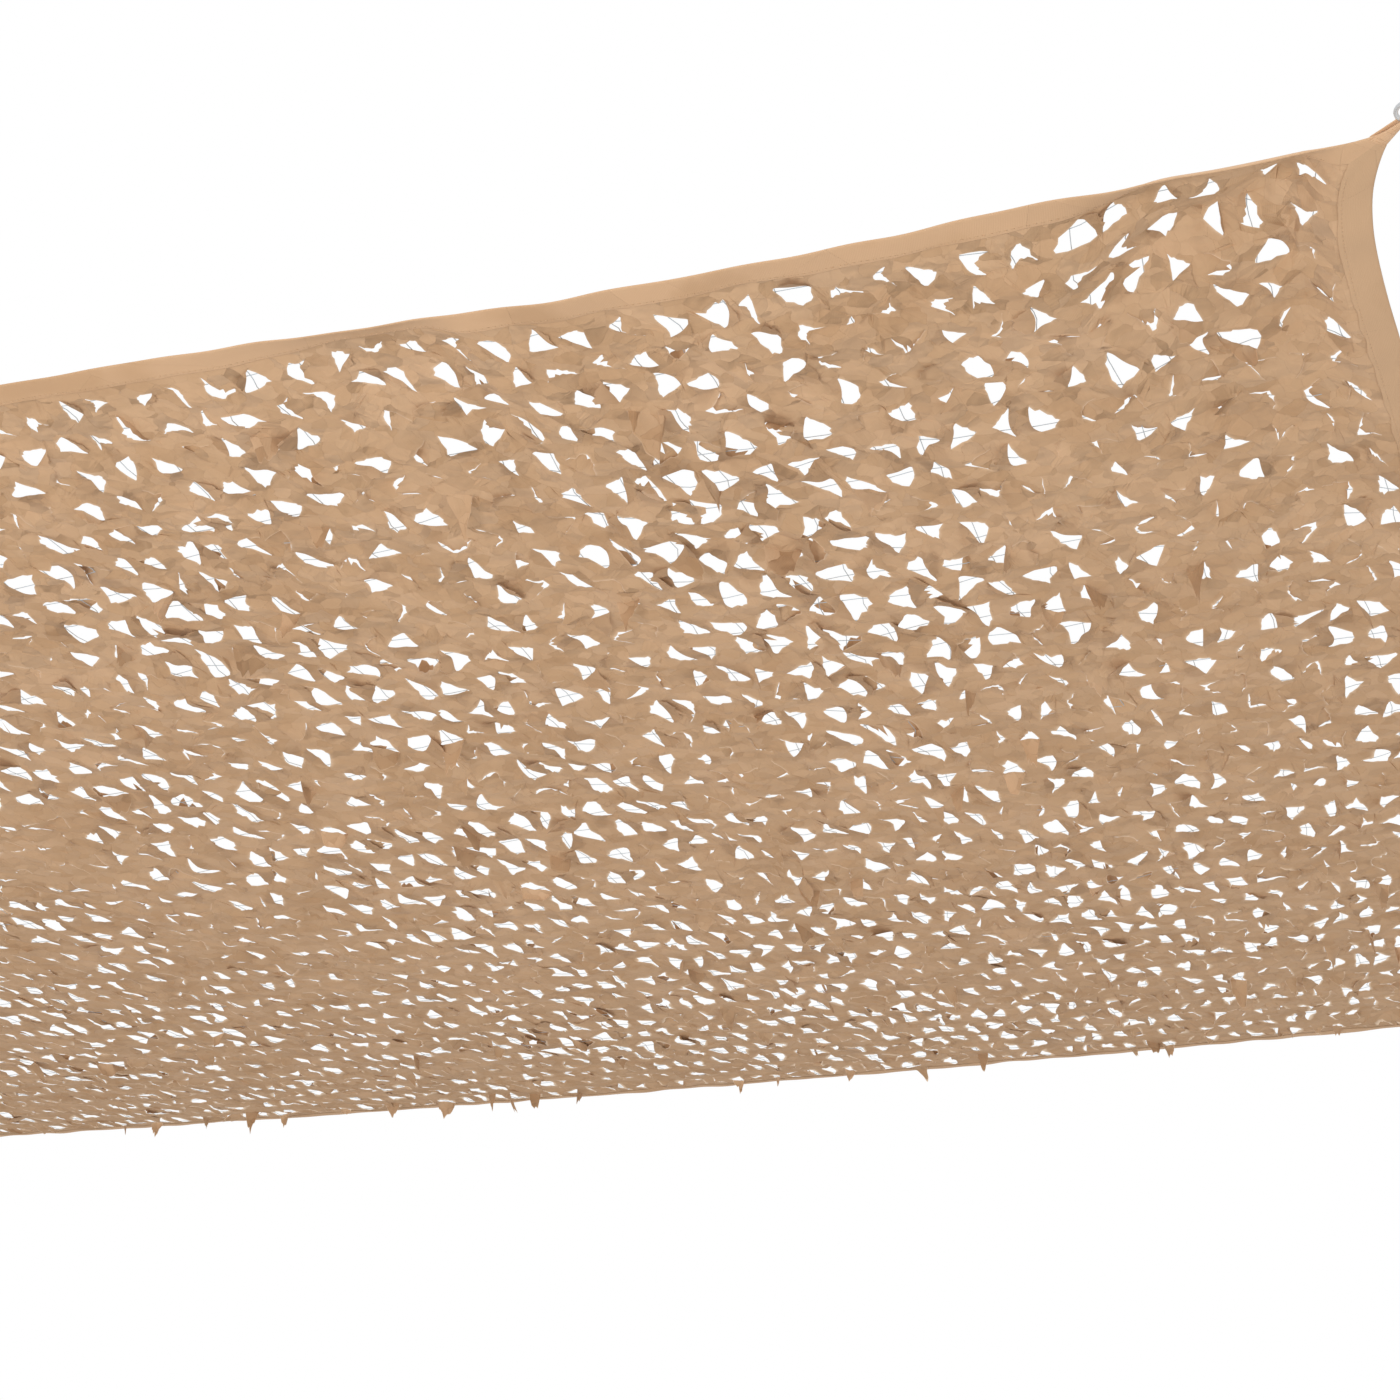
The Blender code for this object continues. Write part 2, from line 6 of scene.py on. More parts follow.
import bpy
import math
import random
import numpy as np
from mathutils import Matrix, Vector


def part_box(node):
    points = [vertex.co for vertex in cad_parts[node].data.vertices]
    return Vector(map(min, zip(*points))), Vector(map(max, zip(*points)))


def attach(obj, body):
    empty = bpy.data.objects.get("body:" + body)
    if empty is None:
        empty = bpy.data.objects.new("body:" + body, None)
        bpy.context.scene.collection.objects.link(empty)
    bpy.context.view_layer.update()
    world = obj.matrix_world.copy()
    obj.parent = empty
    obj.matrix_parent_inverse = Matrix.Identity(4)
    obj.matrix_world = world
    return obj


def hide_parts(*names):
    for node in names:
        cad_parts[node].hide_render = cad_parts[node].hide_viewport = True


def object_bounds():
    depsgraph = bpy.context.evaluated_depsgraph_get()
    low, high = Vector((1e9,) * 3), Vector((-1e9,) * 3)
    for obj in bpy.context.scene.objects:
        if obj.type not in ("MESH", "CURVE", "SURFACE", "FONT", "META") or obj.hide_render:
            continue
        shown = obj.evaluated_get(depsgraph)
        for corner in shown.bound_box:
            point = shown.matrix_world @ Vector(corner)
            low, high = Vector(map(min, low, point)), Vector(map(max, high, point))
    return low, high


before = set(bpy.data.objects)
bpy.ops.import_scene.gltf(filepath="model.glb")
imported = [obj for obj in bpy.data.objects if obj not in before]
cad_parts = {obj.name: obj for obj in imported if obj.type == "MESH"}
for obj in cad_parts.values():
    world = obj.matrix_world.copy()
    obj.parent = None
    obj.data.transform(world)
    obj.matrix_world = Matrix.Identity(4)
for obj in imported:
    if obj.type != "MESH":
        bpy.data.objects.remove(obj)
CAD_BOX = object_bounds()

# Cut size from tip to tip, and the binding
LENGTH, WIDTH = 4.0, 3.0
HALF_LENGTH, HALF_WIDTH = LENGTH / 2, WIDTH / 2
BAND_WIDTH, MITRE_RUN = 0.030, 0.12
EDGES = ("near", "right", "far", "left")

# Hung form: drawn-out corners, bow in plan, sag, slack wave, corner fans, the near
# edge's rolls and the soft folds
LONG_DRAW, LONG_RISE, LONG_REACH = 0.024, 0.031, 0.60
SIDE_DRAW, SIDE_RISE, SIDE_REACH = 0.173, 0.327, 0.20
EDGE_FADE = 4
NEAR_BOW, FAR_BOW, SIDE_BOW = 0.0086, 0.031, 0.009
NEAR_SAG, FAR_SAG, SIDE_SAG = 0.0, 0.0234, 0.029
BELLY = 0.022
WAVE_HEIGHT, WAVE_LENGTH, WAVE_START, WAVE_RISE, WAVE_FADE = 0.010, 1.32, 0.3193, 0.3, 0.5
FAN_HEIGHT, FAN_REACH, FAN_COUNT, FAN_SHARPNESS = 0.010, 0.22, 5, 4
ROLL_WIDTH, ROLL_FADE = 0.062, 0.30
ROLL_COLUMNS = ("start", "full", "fall", "end", "height")
ROLLS = (
    (0.032, 0.070, 0.165, 0.27, 0.046),
    (0.77, 0.82, 0.89, 1.02, 0.028),
)
FOLD_COLUMNS = ("a0", "b0", "a1", "b1", "height", "width")
FOLDS = (
    (0.55, -1.25, 1.15, 0.35, 0.012, 0.10),
    (-0.35, -1.10, 0.60, 0.55, -0.012, 0.14),
    (-1.20, -0.90, 0.05, 0.95, 0.011, 0.13),
    (-1.75, -0.60, -0.85, 1.05, -0.012, 0.12),
    (1.30, -0.75, 1.60, 0.95, -0.010, 0.11),
)
SLOPE_STEP = 0.001

# Leaf cuts: one to a cell of this grid, inside the binding; the rows grow longer
# towards the far side, and the solid has the largest cut of each block
COLUMNS, ROWS, ROW_GROWTH = 100, 36, 0.38
BLOCK_COLUMNS, BLOCK_ROWS = 4, 3
FIELD_MARGIN = 0.034
KNOT_SHIFT, KNOT_SEED = 0.17, 1009
CUT_REACH, CUT_SEED = 0.90, 7000003

# A cut's half size in its cell and its turn, and the leaf form from its hinge to its arc
SIZE_LOW, SIZE_HIGH, SIZE_COMMON, SIZE_LEAST = 0.34, 1.0, 0.66, 0.22
TURN_SPREAD, CROSS_SHARE = math.radians(30), 0.26
HINGE_HALF = 0.86
DEPTH_RANGE, LEAN_RANGE, ROUND_RANGE = (1.06, 1.68), (0.22, 0.78), (0.0, 0.50)
ROUND_POWER, CUT_RUNS = 0.7, 4
NEVER_ZERO = 1e-6

# Patches of the cloth where the cuts gape more or less than elsewhere
PATCH_COLUMNS = ("a", "b", "radius", "change")
PATCHES = (
    (1.96, -1.41, 0.07, -0.80), (1.93, -1.13, 0.13, -0.40), (1.59, -1.37, 0.10, -0.22),
    (1.41, -0.84, 0.18, 0.98), (1.62, -0.94, 0.20, -0.30), (1.38, -1.18, 0.13, 0.36),
    (1.30, -0.46, 0.13, 0.30), (1.92, -0.28, 0.13, 0.44), (1.74, -0.36, 0.13, -0.34),
    (1.86, -0.08, 0.11, -0.28), (1.04, -1.12, 0.13, -0.22), (1.09, -0.79, 0.11, -0.18),
    (1.43, -0.51, 0.12, -0.20), (1.17, -0.34, 0.12, -0.26), (0.70, -1.06, 0.15, 0.30),
    (0.47, -1.03, 0.12, -0.36), (0.75, -0.81, 0.12, 0.24), (0.66, -0.78, 0.42, 0.15),
    (0.74, -0.46, 0.13, -0.24), (0.90, -0.30, 0.13, 0.30), (0.66, -0.22, 0.13, 0.36),
    (0.51, 0.10, 0.12, 0.22), (0.03, -0.40, 0.14, -0.34), (0.98, 0.34, 0.30, 0.14),
    (1.45, 0.32, 0.13, 0.52), (1.85, 0.27, 0.12, -0.20), (0.06, 0.30, 0.32, -0.22),
    (-0.47, 0.31, 0.14, 0.34), (-0.61, 0.81, 0.14, 0.26), (1.07, 0.62, 0.13, -0.38),
    (0.86, 0.85, 0.14, 0.34), (1.06, 1.06, 0.13, 0.34), (0.34, 0.89, 0.13, 1.02),
    (0.51, 1.11, 0.12, 0.20), (0.15, 1.05, 0.12, -0.60), (0.34, 1.30, 0.20, -0.26),
    (1.86, 0.98, 0.13, 0.34), (1.70, 1.22, 0.36, -0.18), (-0.22, 1.22, 0.42, -0.16),
    (-0.94, 1.14, 0.16, -0.28), (-0.30, -0.95, 0.26, -0.24), (-0.95, -0.55, 0.34, 0.10),
    (-1.50, 0.30, 0.34, -0.22), (-1.35, -1.10, 0.28, 0.16), (0.55, -0.73, 0.13, -0.50),
    (0.21, -0.05, 0.13, -0.50), (0.65, -1.29, 0.13, -0.30), (0.83, -1.01, 0.13, -0.45),
    (1.63, 0.31, 0.13, -0.27), (-0.07, 1.37, 0.13, 0.23), (-1.19, 1.37, 0.13, -0.23),
    (-0.59, 0.49, 0.13, -0.46), (0.39, -0.57, 0.13, 0.22), (-0.09, -0.23, 0.13, 0.39),
    (-0.83, 0.83, 0.13, -0.43), (0.13, -0.55, 0.13, -0.36), (-0.73, 0.69, 0.13, 0.39),
    (0.35, 0.19, 0.13, -0.20), (1.61, -0.63, 0.13, -0.19), (0.67, -0.89, 0.13, 0.19),
    (0.51, 1.37, 0.13, -0.34), (0.91, -1.43, 0.13, -0.18), (1.15, 1.37, 0.13, -0.18),
    (0.85, 1.05, 0.13, -0.18), (-0.39, 0.45, 0.13, 0.33), (1.13, -0.51, 0.13, -0.17),
    (1.85, 0.15, 0.13, 0.17), (-0.23, -0.03, 0.13, -0.20), (0.85, -1.23, 0.13, 0.17),
    (-0.35, 1.01, 0.13, 0.16), (1.01, -0.05, 0.13, -0.16), (0.25, -0.71, 0.13, 0.16),
    (1.75, 1.37, 0.13, -0.16), (-0.09, 1.27, 0.13, 0.16), (-0.15, 0.99, 0.13, -0.15),
    (0.15, 0.69, 0.13, -0.15), (-0.97, 1.37, 0.13, 0.15), (1.33, 0.85, 0.13, -0.15),
    (0.69, 0.11, 0.13, -0.15), (-0.41, 0.71, 0.13, -0.15),
)

# Mesh of the cloth: points round a cut, of which the first run lies on its arc, the
# places of the rings between the cut and its cell, and of the rows along a tongue
AROUND, ARC = 24, 12
RING_PLACES = (0.0, 0.26, 1.0)
TONGUE_PLACES = (0.5, 0.92, 1.0)
TONGUE_ROWS = len(TONGUE_PLACES)

# How large each cut is shown, from its own size, and how uneven its edge and its
# tongue's end are
TONGUE_SEED = 41
SHOWN_BASE, SHOWN_SPREAD, RAGGED, CHINK = 0.48, 0.52, 0.12, 0.13

# How the cuts stand: the shares that are wide open and ajar, how they grow with
# openness, the share of the wide ones whose tongue is folded back, near and far, the
# near rows that lie calm, the share of each kind that bends up, and the bends in degrees
OPEN_SHARE, OPEN_GAIN, AJAR_SHARE = 0.54, 1.7, 0.20
FOLD_NEAR, FOLD_FAR, CALM_ROWS = 0.93, 0.985, 2
FOLD_UP, AJAR_UP, SHUT_UP = (0.76, 1.0), 0.55, 0.5
FOLD_BEND, HANG_BEND, AJAR_BEND, SHUT_BEND = (154, 178), (60, 100), (8, 30), (1, 6)

# How long a tongue is against its cut, in the calm rows and where it lies shut, its twist
# in degrees, and its curl and least curl in radians to a metre
CALM_REACH, OVERLAP = 0.4, (0.97, 1.12)
TWIST_SPREAD, CURL_SPREAD, CURL_LEAST = 14, 7, 0.5

# Places of gaps that show in the photo, and places in the corner, with their reach,
# where all are shut
WIDE_PLACES = (
    (1.225, -1.261), (1.409, -1.227), (1.233, -0.898), (1.464, -1.394), (0.760, -0.854),
    (1.631, -1.259), (1.910, -1.405), (1.750, -1.440), (1.850, -1.285), (1.875, -1.230),
    (1.735, -1.350), (1.895, -1.115), (1.805, -1.445),
)
SHUT_PLACES = ((1.955, -1.42, 0.036), (1.95, -1.36, 0.05), (1.94, -1.29, 0.04))

# Tongues that hang past the far edge: their places along it, how long they are against
# their cuts, and their bend in degrees
HANGING_LEAVES = (
    (-1.75, 0.5), (-1.52, 0.7), (-1.36, 0.45), (-1.19, 0.5), (-1.09, 0.5), (-0.93, 0.5),
    (-0.84, 0.5), (-0.71, 0.6), (-0.58, 0.7), (-0.54, 0.65), (-0.37, 0.6), (-0.25, 0.5),
    (-0.13, 0.85), (-0.02, 0.45), (0.06, 0.6), (0.13, 0.5), (0.27, 0.4), (0.37, 0.45), (0.48, 0.6),
    (0.58, 0.5), (0.71, 0.5), (0.80, 0.4), (1.02, 0.5), (1.14, 0.45), (1.31, 0.75), (1.36, 0.6),
    (1.43, 0.6), (1.54, 0.8), (1.61, 0.75), (1.69, 0.95), (1.82, 0.6),
)
HANGING_BEND = (68, 96)

# Lines of the plain cloth between its outer edge and the cuts
RIM_LINES = 3
EDGE_LINES = (0.0013, 0.017, 0.029)

# Crumple of the cloth: height, shortest and longest wave, and seed of its swells, its
# creases and its fine folds, of the shift in its plane and of the slack that the
# binding shares
SWELL = (0.0012, 0.12, 0.30, 11)
CREASE = (0.0010, 0.05, 0.10, 12)
FINE = (0.0003, 0.022, 0.04, 13)
SHIFT = (0.0026, 0.05, 0.10, 14)
SLACK = (0.0008, 0.06, 0.16, 15)
WAVE_COUNT = 14

# How far from the binding the crumple is whole, and how the cloth waves round each cut:
# its height, its waves, how fast they die out, how far they sink and how much of them is
# left beside the binding
CALM_WIDTH = 0.04
RIM_HEIGHT, RIM_WAVES, RIM_FADE, RIM_SINK, RIM_CALM = 0.0004, 3, 1.5, 1.4, 0.3

# The creases that stand out in the photo, in the columns of FOLDS
MAIN_CREASES = (
    (1.962, -1.445, 1.930, -1.280, -0.0090, 0.008),
    (1.940, -1.325, 1.896, -1.262, -0.0070, 0.008),
    (1.460, -1.075, 1.516, -0.678, -0.0065, 0.012),
    (1.723, -1.365, 1.744, -1.255, -0.0045, 0.010),
    (1.686, -1.350, 1.704, -1.290, -0.0040, 0.009),
    (1.150, -1.345, 1.198, -1.405, -0.0040, 0.010),
    (1.000, -1.205, 1.080, -1.262, 0.0040, 0.012),
    (1.075, -1.275, 1.118, -1.150, -0.0040, 0.012),
    (1.632, -1.490, 1.622, -1.415, -0.0040, 0.011),
    (0.930, -1.240, 1.120, -1.000, -0.0040, 0.018),
)

# How far tongue ends hang freely below the solids' box, and the share kept of the rest
LOW_ROOM, LOW_GIVE = 0.004, 0.12

# Backing net of thin cord, above the cloth: its pitch, the steps along a cord in the open
# and near its ends, how far those reach, the cord's rise over the cloth in the open and
# at the tape, and how far short of the edge it ends, in widths of the tape
CORD_PITCH, CORD_STEP, CORD_FINE, CORD_BUSY = 0.050, 0.026, 0.012, 0.22
CORD_RADIUS, CORD_SIDES = 0.00045, 3
CORD_RISE, CORD_LEAST, CORD_STOP = 0.0030, 0.0005, 0.7

# Binding tape as sewn: half its thickness when folded, turned-in edge, step along it, and
# its section from the turned-in edge to the fold, inward and up in half thicknesses
BAND_HALF, BAND_TURN, BAND_STATION = 0.0008, 0.004, 0.008
BAND_WOBBLE = (0.0006, 0.03, 0.09, 16)
BAND_LEG = (
    (0.026, 0.45), (0.0297, 0.5), (0.030, 0.8), (0.0294, 1.0), (0.024, 1.02),
    (0.0165, 1.0), (0.009, 1.05), (0.003, 1.1), (0.0007, 0.75),
)

# Stitches: where their line lies and starts, their pitch and size, the tape's height under
# them in half thicknesses, and how far they stand up, in radii
STITCH_INSET, STITCH_PITCH, STITCH_LENGTH, STITCH_RADIUS = 0.004, 0.006, 0.0038, 0.00035
STITCH_SIDES, STITCH_ROWS = 4, 2
STITCH_START, STITCH_BED, STITCH_STAND = 0.03, 1.02, 0.4

# Corner rings, with a weld's place, reach and swell
RING_RADIUS, RING_WIRE, RING_STEPS, WIRE_STEPS = 0.0128, 0.0018, 72, 18
RING_OFFSET = 0.0165
WELD_TURN, WELD_SPREAD, WELD_SWELL = 3.6, 0.09, 0.10

# The tabs that hold them, and their bars of stitches, from the tip back
LAP_WIDTH, LOOP_WIDTH, TAB_LAP, TAB_THICK, TAB_TURN = 0.014, 0.005, 0.026, 0.001, 0.0021
TAB_STEPS, TAB_ROWS, TAB_REST, TAB_SHOULDER = 20, 8, 0.0018, 0.94
TAB_BARS, BAR_INSET, BAR_STAND = (0.006, 0.010, 0.020, 0.024), 0.0012, 0.3
BAR_PITCH, BAR_STITCH = 0.0022, 0.0024

# Thread spacings, drawn three times as coarse as they are so that they show
CLOTH_WEAVE, TAPE_WEAVE, RIB_PITCH = 0.0012, 0.0014, 0.0016

# The scale of a wave texture whose bands are one metre wide
METRE_WAVE = math.pi / 10

# Creased cloth and tapes: facets to a metre, how many bends a facet's border has and how
# # far they reach, how much of the tone is a painted shade of each facet and leaf, as if it
# # caught the light at its own tilt, the value of that painted shade that stands for the
# # cloth between the leaves, and the height of the facets' relief at the near edge, and
# # from a depth on
CLOTH_FACETS, TAPE_FACETS, BEND_COUNT, BEND_SHARE = 50.0, 7.0, 0.6, 0.024
CLOTH_FACET_SHADE, TAPE_FACET_SHADE, PLAIN_LEAF_SHADE = 0.70, 0.25, 0.5
RELIEF_NEAR, RELIEF_FAR, RELIEF_END = 0.017, 0.007, -0.5

# A painted highlight along the cut edges, as if light caught them and came through them:
# # how narrow and how strong it is at the near and the far edge, and the share of the light
# # that comes through: from a depth on it falls off, to a share of itself
CUT_NEAR, CUT_FAR, CUT_PALE = 5.0, 0.5, (0.38, 1.0)
CLOTH_THROUGH, TAPE_THROUGH, THROUGH_START, FAR_THROUGH = 0.18, 0.08, -0.5, 0.42

# Patches of dye to a metre, 110 mm wide on the cloth, 8 mm on the webbing and 3 mm on
# # thread, the steel's scratches, 1 mm apart, and the roughness of thread and cord
CLOTH_PATCHES, WEBBING_PATCHES, FIBRE_PATCHES, STEEL_GRAIN = 9.0, 120.0, 300.0, 900.0
FIBRE_ROUGHNESS = 0.6

# Light: the sky's strength as light and as background, and each soft light's name,
# place, size and power
SKY_STRENGTH, SHOWN_STRENGTH = 0.76, 1.0
LIGHTS = (
    ("soft light above", (1.6, -2.5, 4.5), 2.0, 110.0),
    ("soft light in front", (1.2, -4.9, -1.8), 0.6, 67.0),
)

# Colours of the cloth, with the painted highlight of its cut edges, the long tapes, the side
# # tapes, which are the same tape painted darker as in shade, the webbing, the thread, the
# # cord, the rings and what lies round them
CLOTH_TONE, CLOTH_DARK, CLOTH_ROSE, CUT_HIGHLIGHT_TONE = "#C19F7C", "#B18C68", "#D0AD8B", "#F4DEC4"
BAND_TONE, BAND_DARK = "#D5B08C", "#C8A27D"
SHADED_SIDE_TONE, SHADED_SIDE_DARK = "#CDAA87", "#C29E7B"
WEBBING_TONE, WEBBING_DARK = "#D9B48F", "#CDA681"
THREAD_TONE, CORD_TONE, STEEL_TONE = "#D2B28C", "#B4BEC6", "#E2E5E8"
FLOOR_TONE, SKY_TONE = "#F4F3F1", "#FFFFFF"

# The camera, from the level of the near corners, its lens and the floor
CAMERA_PLACE = (2.026, -3.113, -1.0427)
CAMERA_YAW, CAMERA_PITCH = -0.3439, 0.3652
LENS, SENSOR = 62.3, 36.0
FLOOR_LEVEL, FLOOR_SIZE = -2.5, 60.0


def smooth_step(value):
    value = np.clip(value, 0.0, 1.0)
    return value * value * (3 - 2 * value)


def drawn_back(distance, draw, rise, reach):
    """How far an edge lies behind its tips, at a distance from the nearer tip."""
    return draw * (1 - np.exp(-distance / rise)) * np.exp(-distance / reach)


def fold_height(a, b, rows):
    """Ridges and troughs of the cloth, each of which dies out at its ends."""
    total = np.zeros(np.shape(a))
    for row in rows:
        fold = dict(zip(FOLD_COLUMNS, row))
        run_a, run_b = fold["a1"] - fold["a0"], fold["b1"] - fold["b0"]
        length = math.hypot(run_a, run_b)
        off_a, off_b = a - fold["a0"], b - fold["b0"]
        along = np.clip((off_a * run_a + off_b * run_b) / length ** 2, 0.0, 1.0)
        across = (off_a * run_b - off_b * run_a) / length
        ends = np.sin(np.pi * along) ** 2
        total = total + fold["height"] * ends * np.exp(-((across / fold["width"]) ** 2))
    return total


def fan_height(from_side, from_long):
    """Creases that fan out from a corner, flat along both edges and at the tip."""
    angle = np.arctan2(from_long, from_side)
    spread = np.hypot(from_side, from_long) / FAN_REACH
    swell = spread ** FAN_SHARPNESS * np.exp(FAN_SHARPNESS * (1 - spread))
    return FAN_HEIGHT * swell * np.sin(2 * angle) ** 2 * np.cos(2 * FAN_COUNT * angle)


def roll_height(from_right, from_near):
    """The near edge's rolls: the cloth climbs steeply from the edge and sinks slowly."""
    climb = np.tanh(from_near / ROLL_WIDTH) * np.exp(-from_near / ROLL_FADE)
    total = np.zeros(np.shape(from_right))
    for row in ROLLS:
        roll = dict(zip(ROLL_COLUMNS, row))
        rise = smooth_step((from_right - roll["start"]) / (roll["full"] - roll["start"]))
        fall = 1 - smooth_step((from_right - roll["fall"]) / (roll["end"] - roll["fall"]))
        total = total + roll["height"] * rise * fall
    return total * climb


def hung(a, b):
    """Where points (a, b) of the flat cut cloth lie on the hung sail."""
    s, t = a / HALF_LENGTH, b / HALF_WIDTH
    from_side = np.maximum(HALF_LENGTH - np.abs(a), 0.0)
    from_long = np.maximum(HALF_WIDTH - np.abs(b), 0.0)
    from_near, from_right = HALF_WIDTH + b, HALF_LENGTH - a
    far_share = (1 + t) / 2
    long_bow = NEAR_BOW + (FAR_BOW - NEAR_BOW) * far_share
    long_back = drawn_back(from_side, LONG_DRAW, LONG_RISE, LONG_REACH) + long_bow * (1 - s * s)
    side_back = drawn_back(from_long, SIDE_DRAW, SIDE_RISE, SIDE_REACH) + SIDE_BOW * (1 - t * t)
    x = a - np.copysign(np.abs(s) ** EDGE_FADE * side_back, a)
    y = b - np.copysign(np.abs(t) ** EDGE_FADE * long_back, b)
    sag = (NEAR_SAG + (FAR_SAG - NEAR_SAG) * far_share) * (1 - s * s)
    sag = sag + SIDE_SAG * (1 - t * t) + BELLY * (1 - s * s) * (1 - t * t)
    wave = WAVE_HEIGHT * np.sin(2 * np.pi * (from_right / WAVE_LENGTH + WAVE_START))
    wave = wave * (1 - np.exp(-from_side / WAVE_RISE)) * np.exp(-from_near / WAVE_FADE)
    folds = fold_height(a, b, FOLDS) + fan_height(from_side, from_long)
    z = wave + folds + roll_height(from_right, from_near) - sag
    return np.stack([x, y, z], -1) + HUNG_PLACE


def unit(vectors):
    return vectors / np.linalg.norm(vectors, axis=-1, keepdims=True)


def hung_frame(a, b):
    """The cloth's two directions and its upward normal on the hung sail."""
    along = hung(a + SLOPE_STEP, b) - hung(a - SLOPE_STEP, b)
    across = hung(a, b + SLOPE_STEP) - hung(a, b - SLOPE_STEP)
    return unit(along), unit(across), unit(np.cross(along, across))


def slack(a, b):
    """The small slack that the cloth and its binding share."""
    amount, shortest, longest, seed = SLACK
    return amount * rough(a, b, shortest, longest, seed)


def rough(a, b, shortest, longest, seed):
    """A smooth uneven height of about one unit: the sum of plane waves of random turns."""
    draw = np.random.default_rng(seed)
    turns = draw.uniform(0, 2 * np.pi, WAVE_COUNT)
    lengths = np.exp(draw.uniform(math.log(shortest), math.log(longest), WAVE_COUNT))
    phases = draw.uniform(0, 2 * np.pi, WAVE_COUNT)
    total = np.zeros(np.shape(a))
    for turn, length, phase in zip(turns, lengths, phases):
        way = a * math.cos(turn) + b * math.sin(turn)
        total = total + np.sin(2 * np.pi * way / length + phase)
    return total * math.sqrt(2 / WAVE_COUNT)


def calm(a, b):
    """1 in the open cloth and near 0 beside the binding, which holds the cloth flat."""
    edge = np.minimum(HALF_LENGTH - np.abs(a), HALF_WIDTH - np.abs(b)) - BAND_WIDTH
    return smooth_step(edge / CALM_WIDTH)


def crumple(a, b):
    """How far the cloth stands off its hung form: soft swells, sharp creases, fine folds."""
    swell_height, *swell = SWELL
    crease_height, *crease = CREASE
    fine_height, *fine = FINE
    height = swell_height * rough(a, b, *swell)
    height = height + crease_height * (1 - 2 * np.abs(rough(a, b, *crease)))
    height = height + fine_height * (1 - 2 * np.abs(rough(a, b, *fine)))
    return (height + fold_height(a, b, MAIN_CREASES)) * calm(a, b)


def shifted(a, b):
    """Flat points drawn a little out of place, so that no cut has a straight edge left."""
    amount, shortest, longest, seed = SHIFT
    free = amount * calm(a, b)
    shift_a = free * rough(a, b, shortest, longest, seed)
    shift_b = free * rough(a, b, shortest, longest, seed + 1)
    return a + shift_a, b + shift_b


def openness(a, b):
    """How far the cuts gape at a place: 0 is the general run of the cloth."""
    total = np.zeros(np.shape(a))
    for row in PATCHES:
        patch = dict(zip(PATCH_COLUMNS, row))
        distance = np.hypot(a - patch["a"], b - patch["b"]) / patch["radius"]
        total = total + patch["change"] * np.exp(-distance * distance)
    return total


def grid_knots():
    """The corners of the cells, shifted a little unless they lie on the field's border."""
    knots = np.zeros((COLUMNS + 1, ROWS + 1, 2))
    for column in range(COLUMNS + 1):
        for row in range(ROWS + 1):
            draw = random.Random(column * KNOT_SEED + row)
            shift_a, shift_b = draw.uniform(-1, 1), draw.uniform(-1, 1)
            if column in (0, COLUMNS):
                shift_a = 0.0
            if row in (0, ROWS):
                shift_b = 0.0
            knots[column, row] = column + KNOT_SHIFT * shift_a, row + KNOT_SHIFT * shift_b
    knots = knots / (COLUMNS, ROWS)
    knots[..., 1] *= 1 + ROW_GROWTH * (knots[..., 1] - 1)
    return knots * (LENGTH - 2 * FIELD_MARGIN, WIDTH - 2 * FIELD_MARGIN) + (
        FIELD_MARGIN - HALF_LENGTH, FIELD_MARGIN - HALF_WIDTH)


def cell_points(knots, p, q):
    """Points of cells, p and q running from -1 to 1 between the four knots of each."""
    weights = np.stack([(1 - p) * (1 - q), (1 + p) * (1 - q), (1 + p) * (1 + q),
                        (1 - p) * (1 + q)], -1) / 4
    return np.einsum("n...k,nkd->n...d", weights, knots)


def cell_layout():
    """Every cell's place, knots and leaf cut, a row of each array to a cell."""
    knots = grid_knots()
    places = [(column, row) for column in range(COLUMNS) for row in range(ROWS)]
    corners = ((0, 0), (1, 0), (1, 1), (0, 1))
    cells = {"place": np.array(places)}
    cells["knots"] = np.array([[knots[c + i, r + j] for i, j in corners] for c, r in places])
    middle = cells["knots"].mean(1)
    gape = openness(middle[:, 0], middle[:, 1])
    names = ("size", "turn", "side", "depth", "lean", "round")
    values = {name: np.zeros(len(places)) for name in names}
    for index, (column, row) in enumerate(places):
        draw = random.Random(CUT_SEED + column * ROWS + row)
        size = draw.triangular(SIZE_LOW, SIZE_HIGH, SIZE_COMMON) + gape[index]
        values["size"][index] = min(max(size, SIZE_LEAST), SIZE_HIGH)
        turn = draw.gauss(0, TURN_SPREAD)
        if draw.random() < CROSS_SHARE:
            turn += math.pi / 2
        values["turn"][index] = turn
        values["side"][index] = 1 if (column + row) % 2 else -1
        values["depth"][index] = draw.uniform(*DEPTH_RANGE)
        values["lean"][index] = draw.uniform(*LEAN_RANGE)
        values["round"][index] = draw.uniform(*ROUND_RANGE)
    cells.update(values)
    cells["middle"] = middle
    return cells


def cut_places(cells, size, share, lift):
    """Places (p, q) on the tongues: share along the hinge, lift from the hinge to the arc."""
    lean, part_round = cells["lean"][:, None], cells["round"][:, None]
    turn, size = cells["turn"][:, None], size[:, None]
    peak = np.minimum(share / lean, (1 - share) / (1 - lean))
    arch = np.abs(np.sin(np.pi * share)) ** ROUND_POWER
    bulge = part_round * arch + (1 - part_round) * peak
    along = HINGE_HALF * size * (2 * share - 1)
    off = cells["side"][:, None] * cells["depth"][:, None] * size * (bulge * lift - 0.5)
    p = off * np.cos(turn) + along * np.sin(turn)
    q = along * np.cos(turn) - off * np.sin(turn)
    largest = np.maximum(np.maximum(np.abs(p), np.abs(q)), NEVER_ZERO)
    pull = np.minimum(1.0, CUT_REACH / largest)
    return p * pull, q * pull


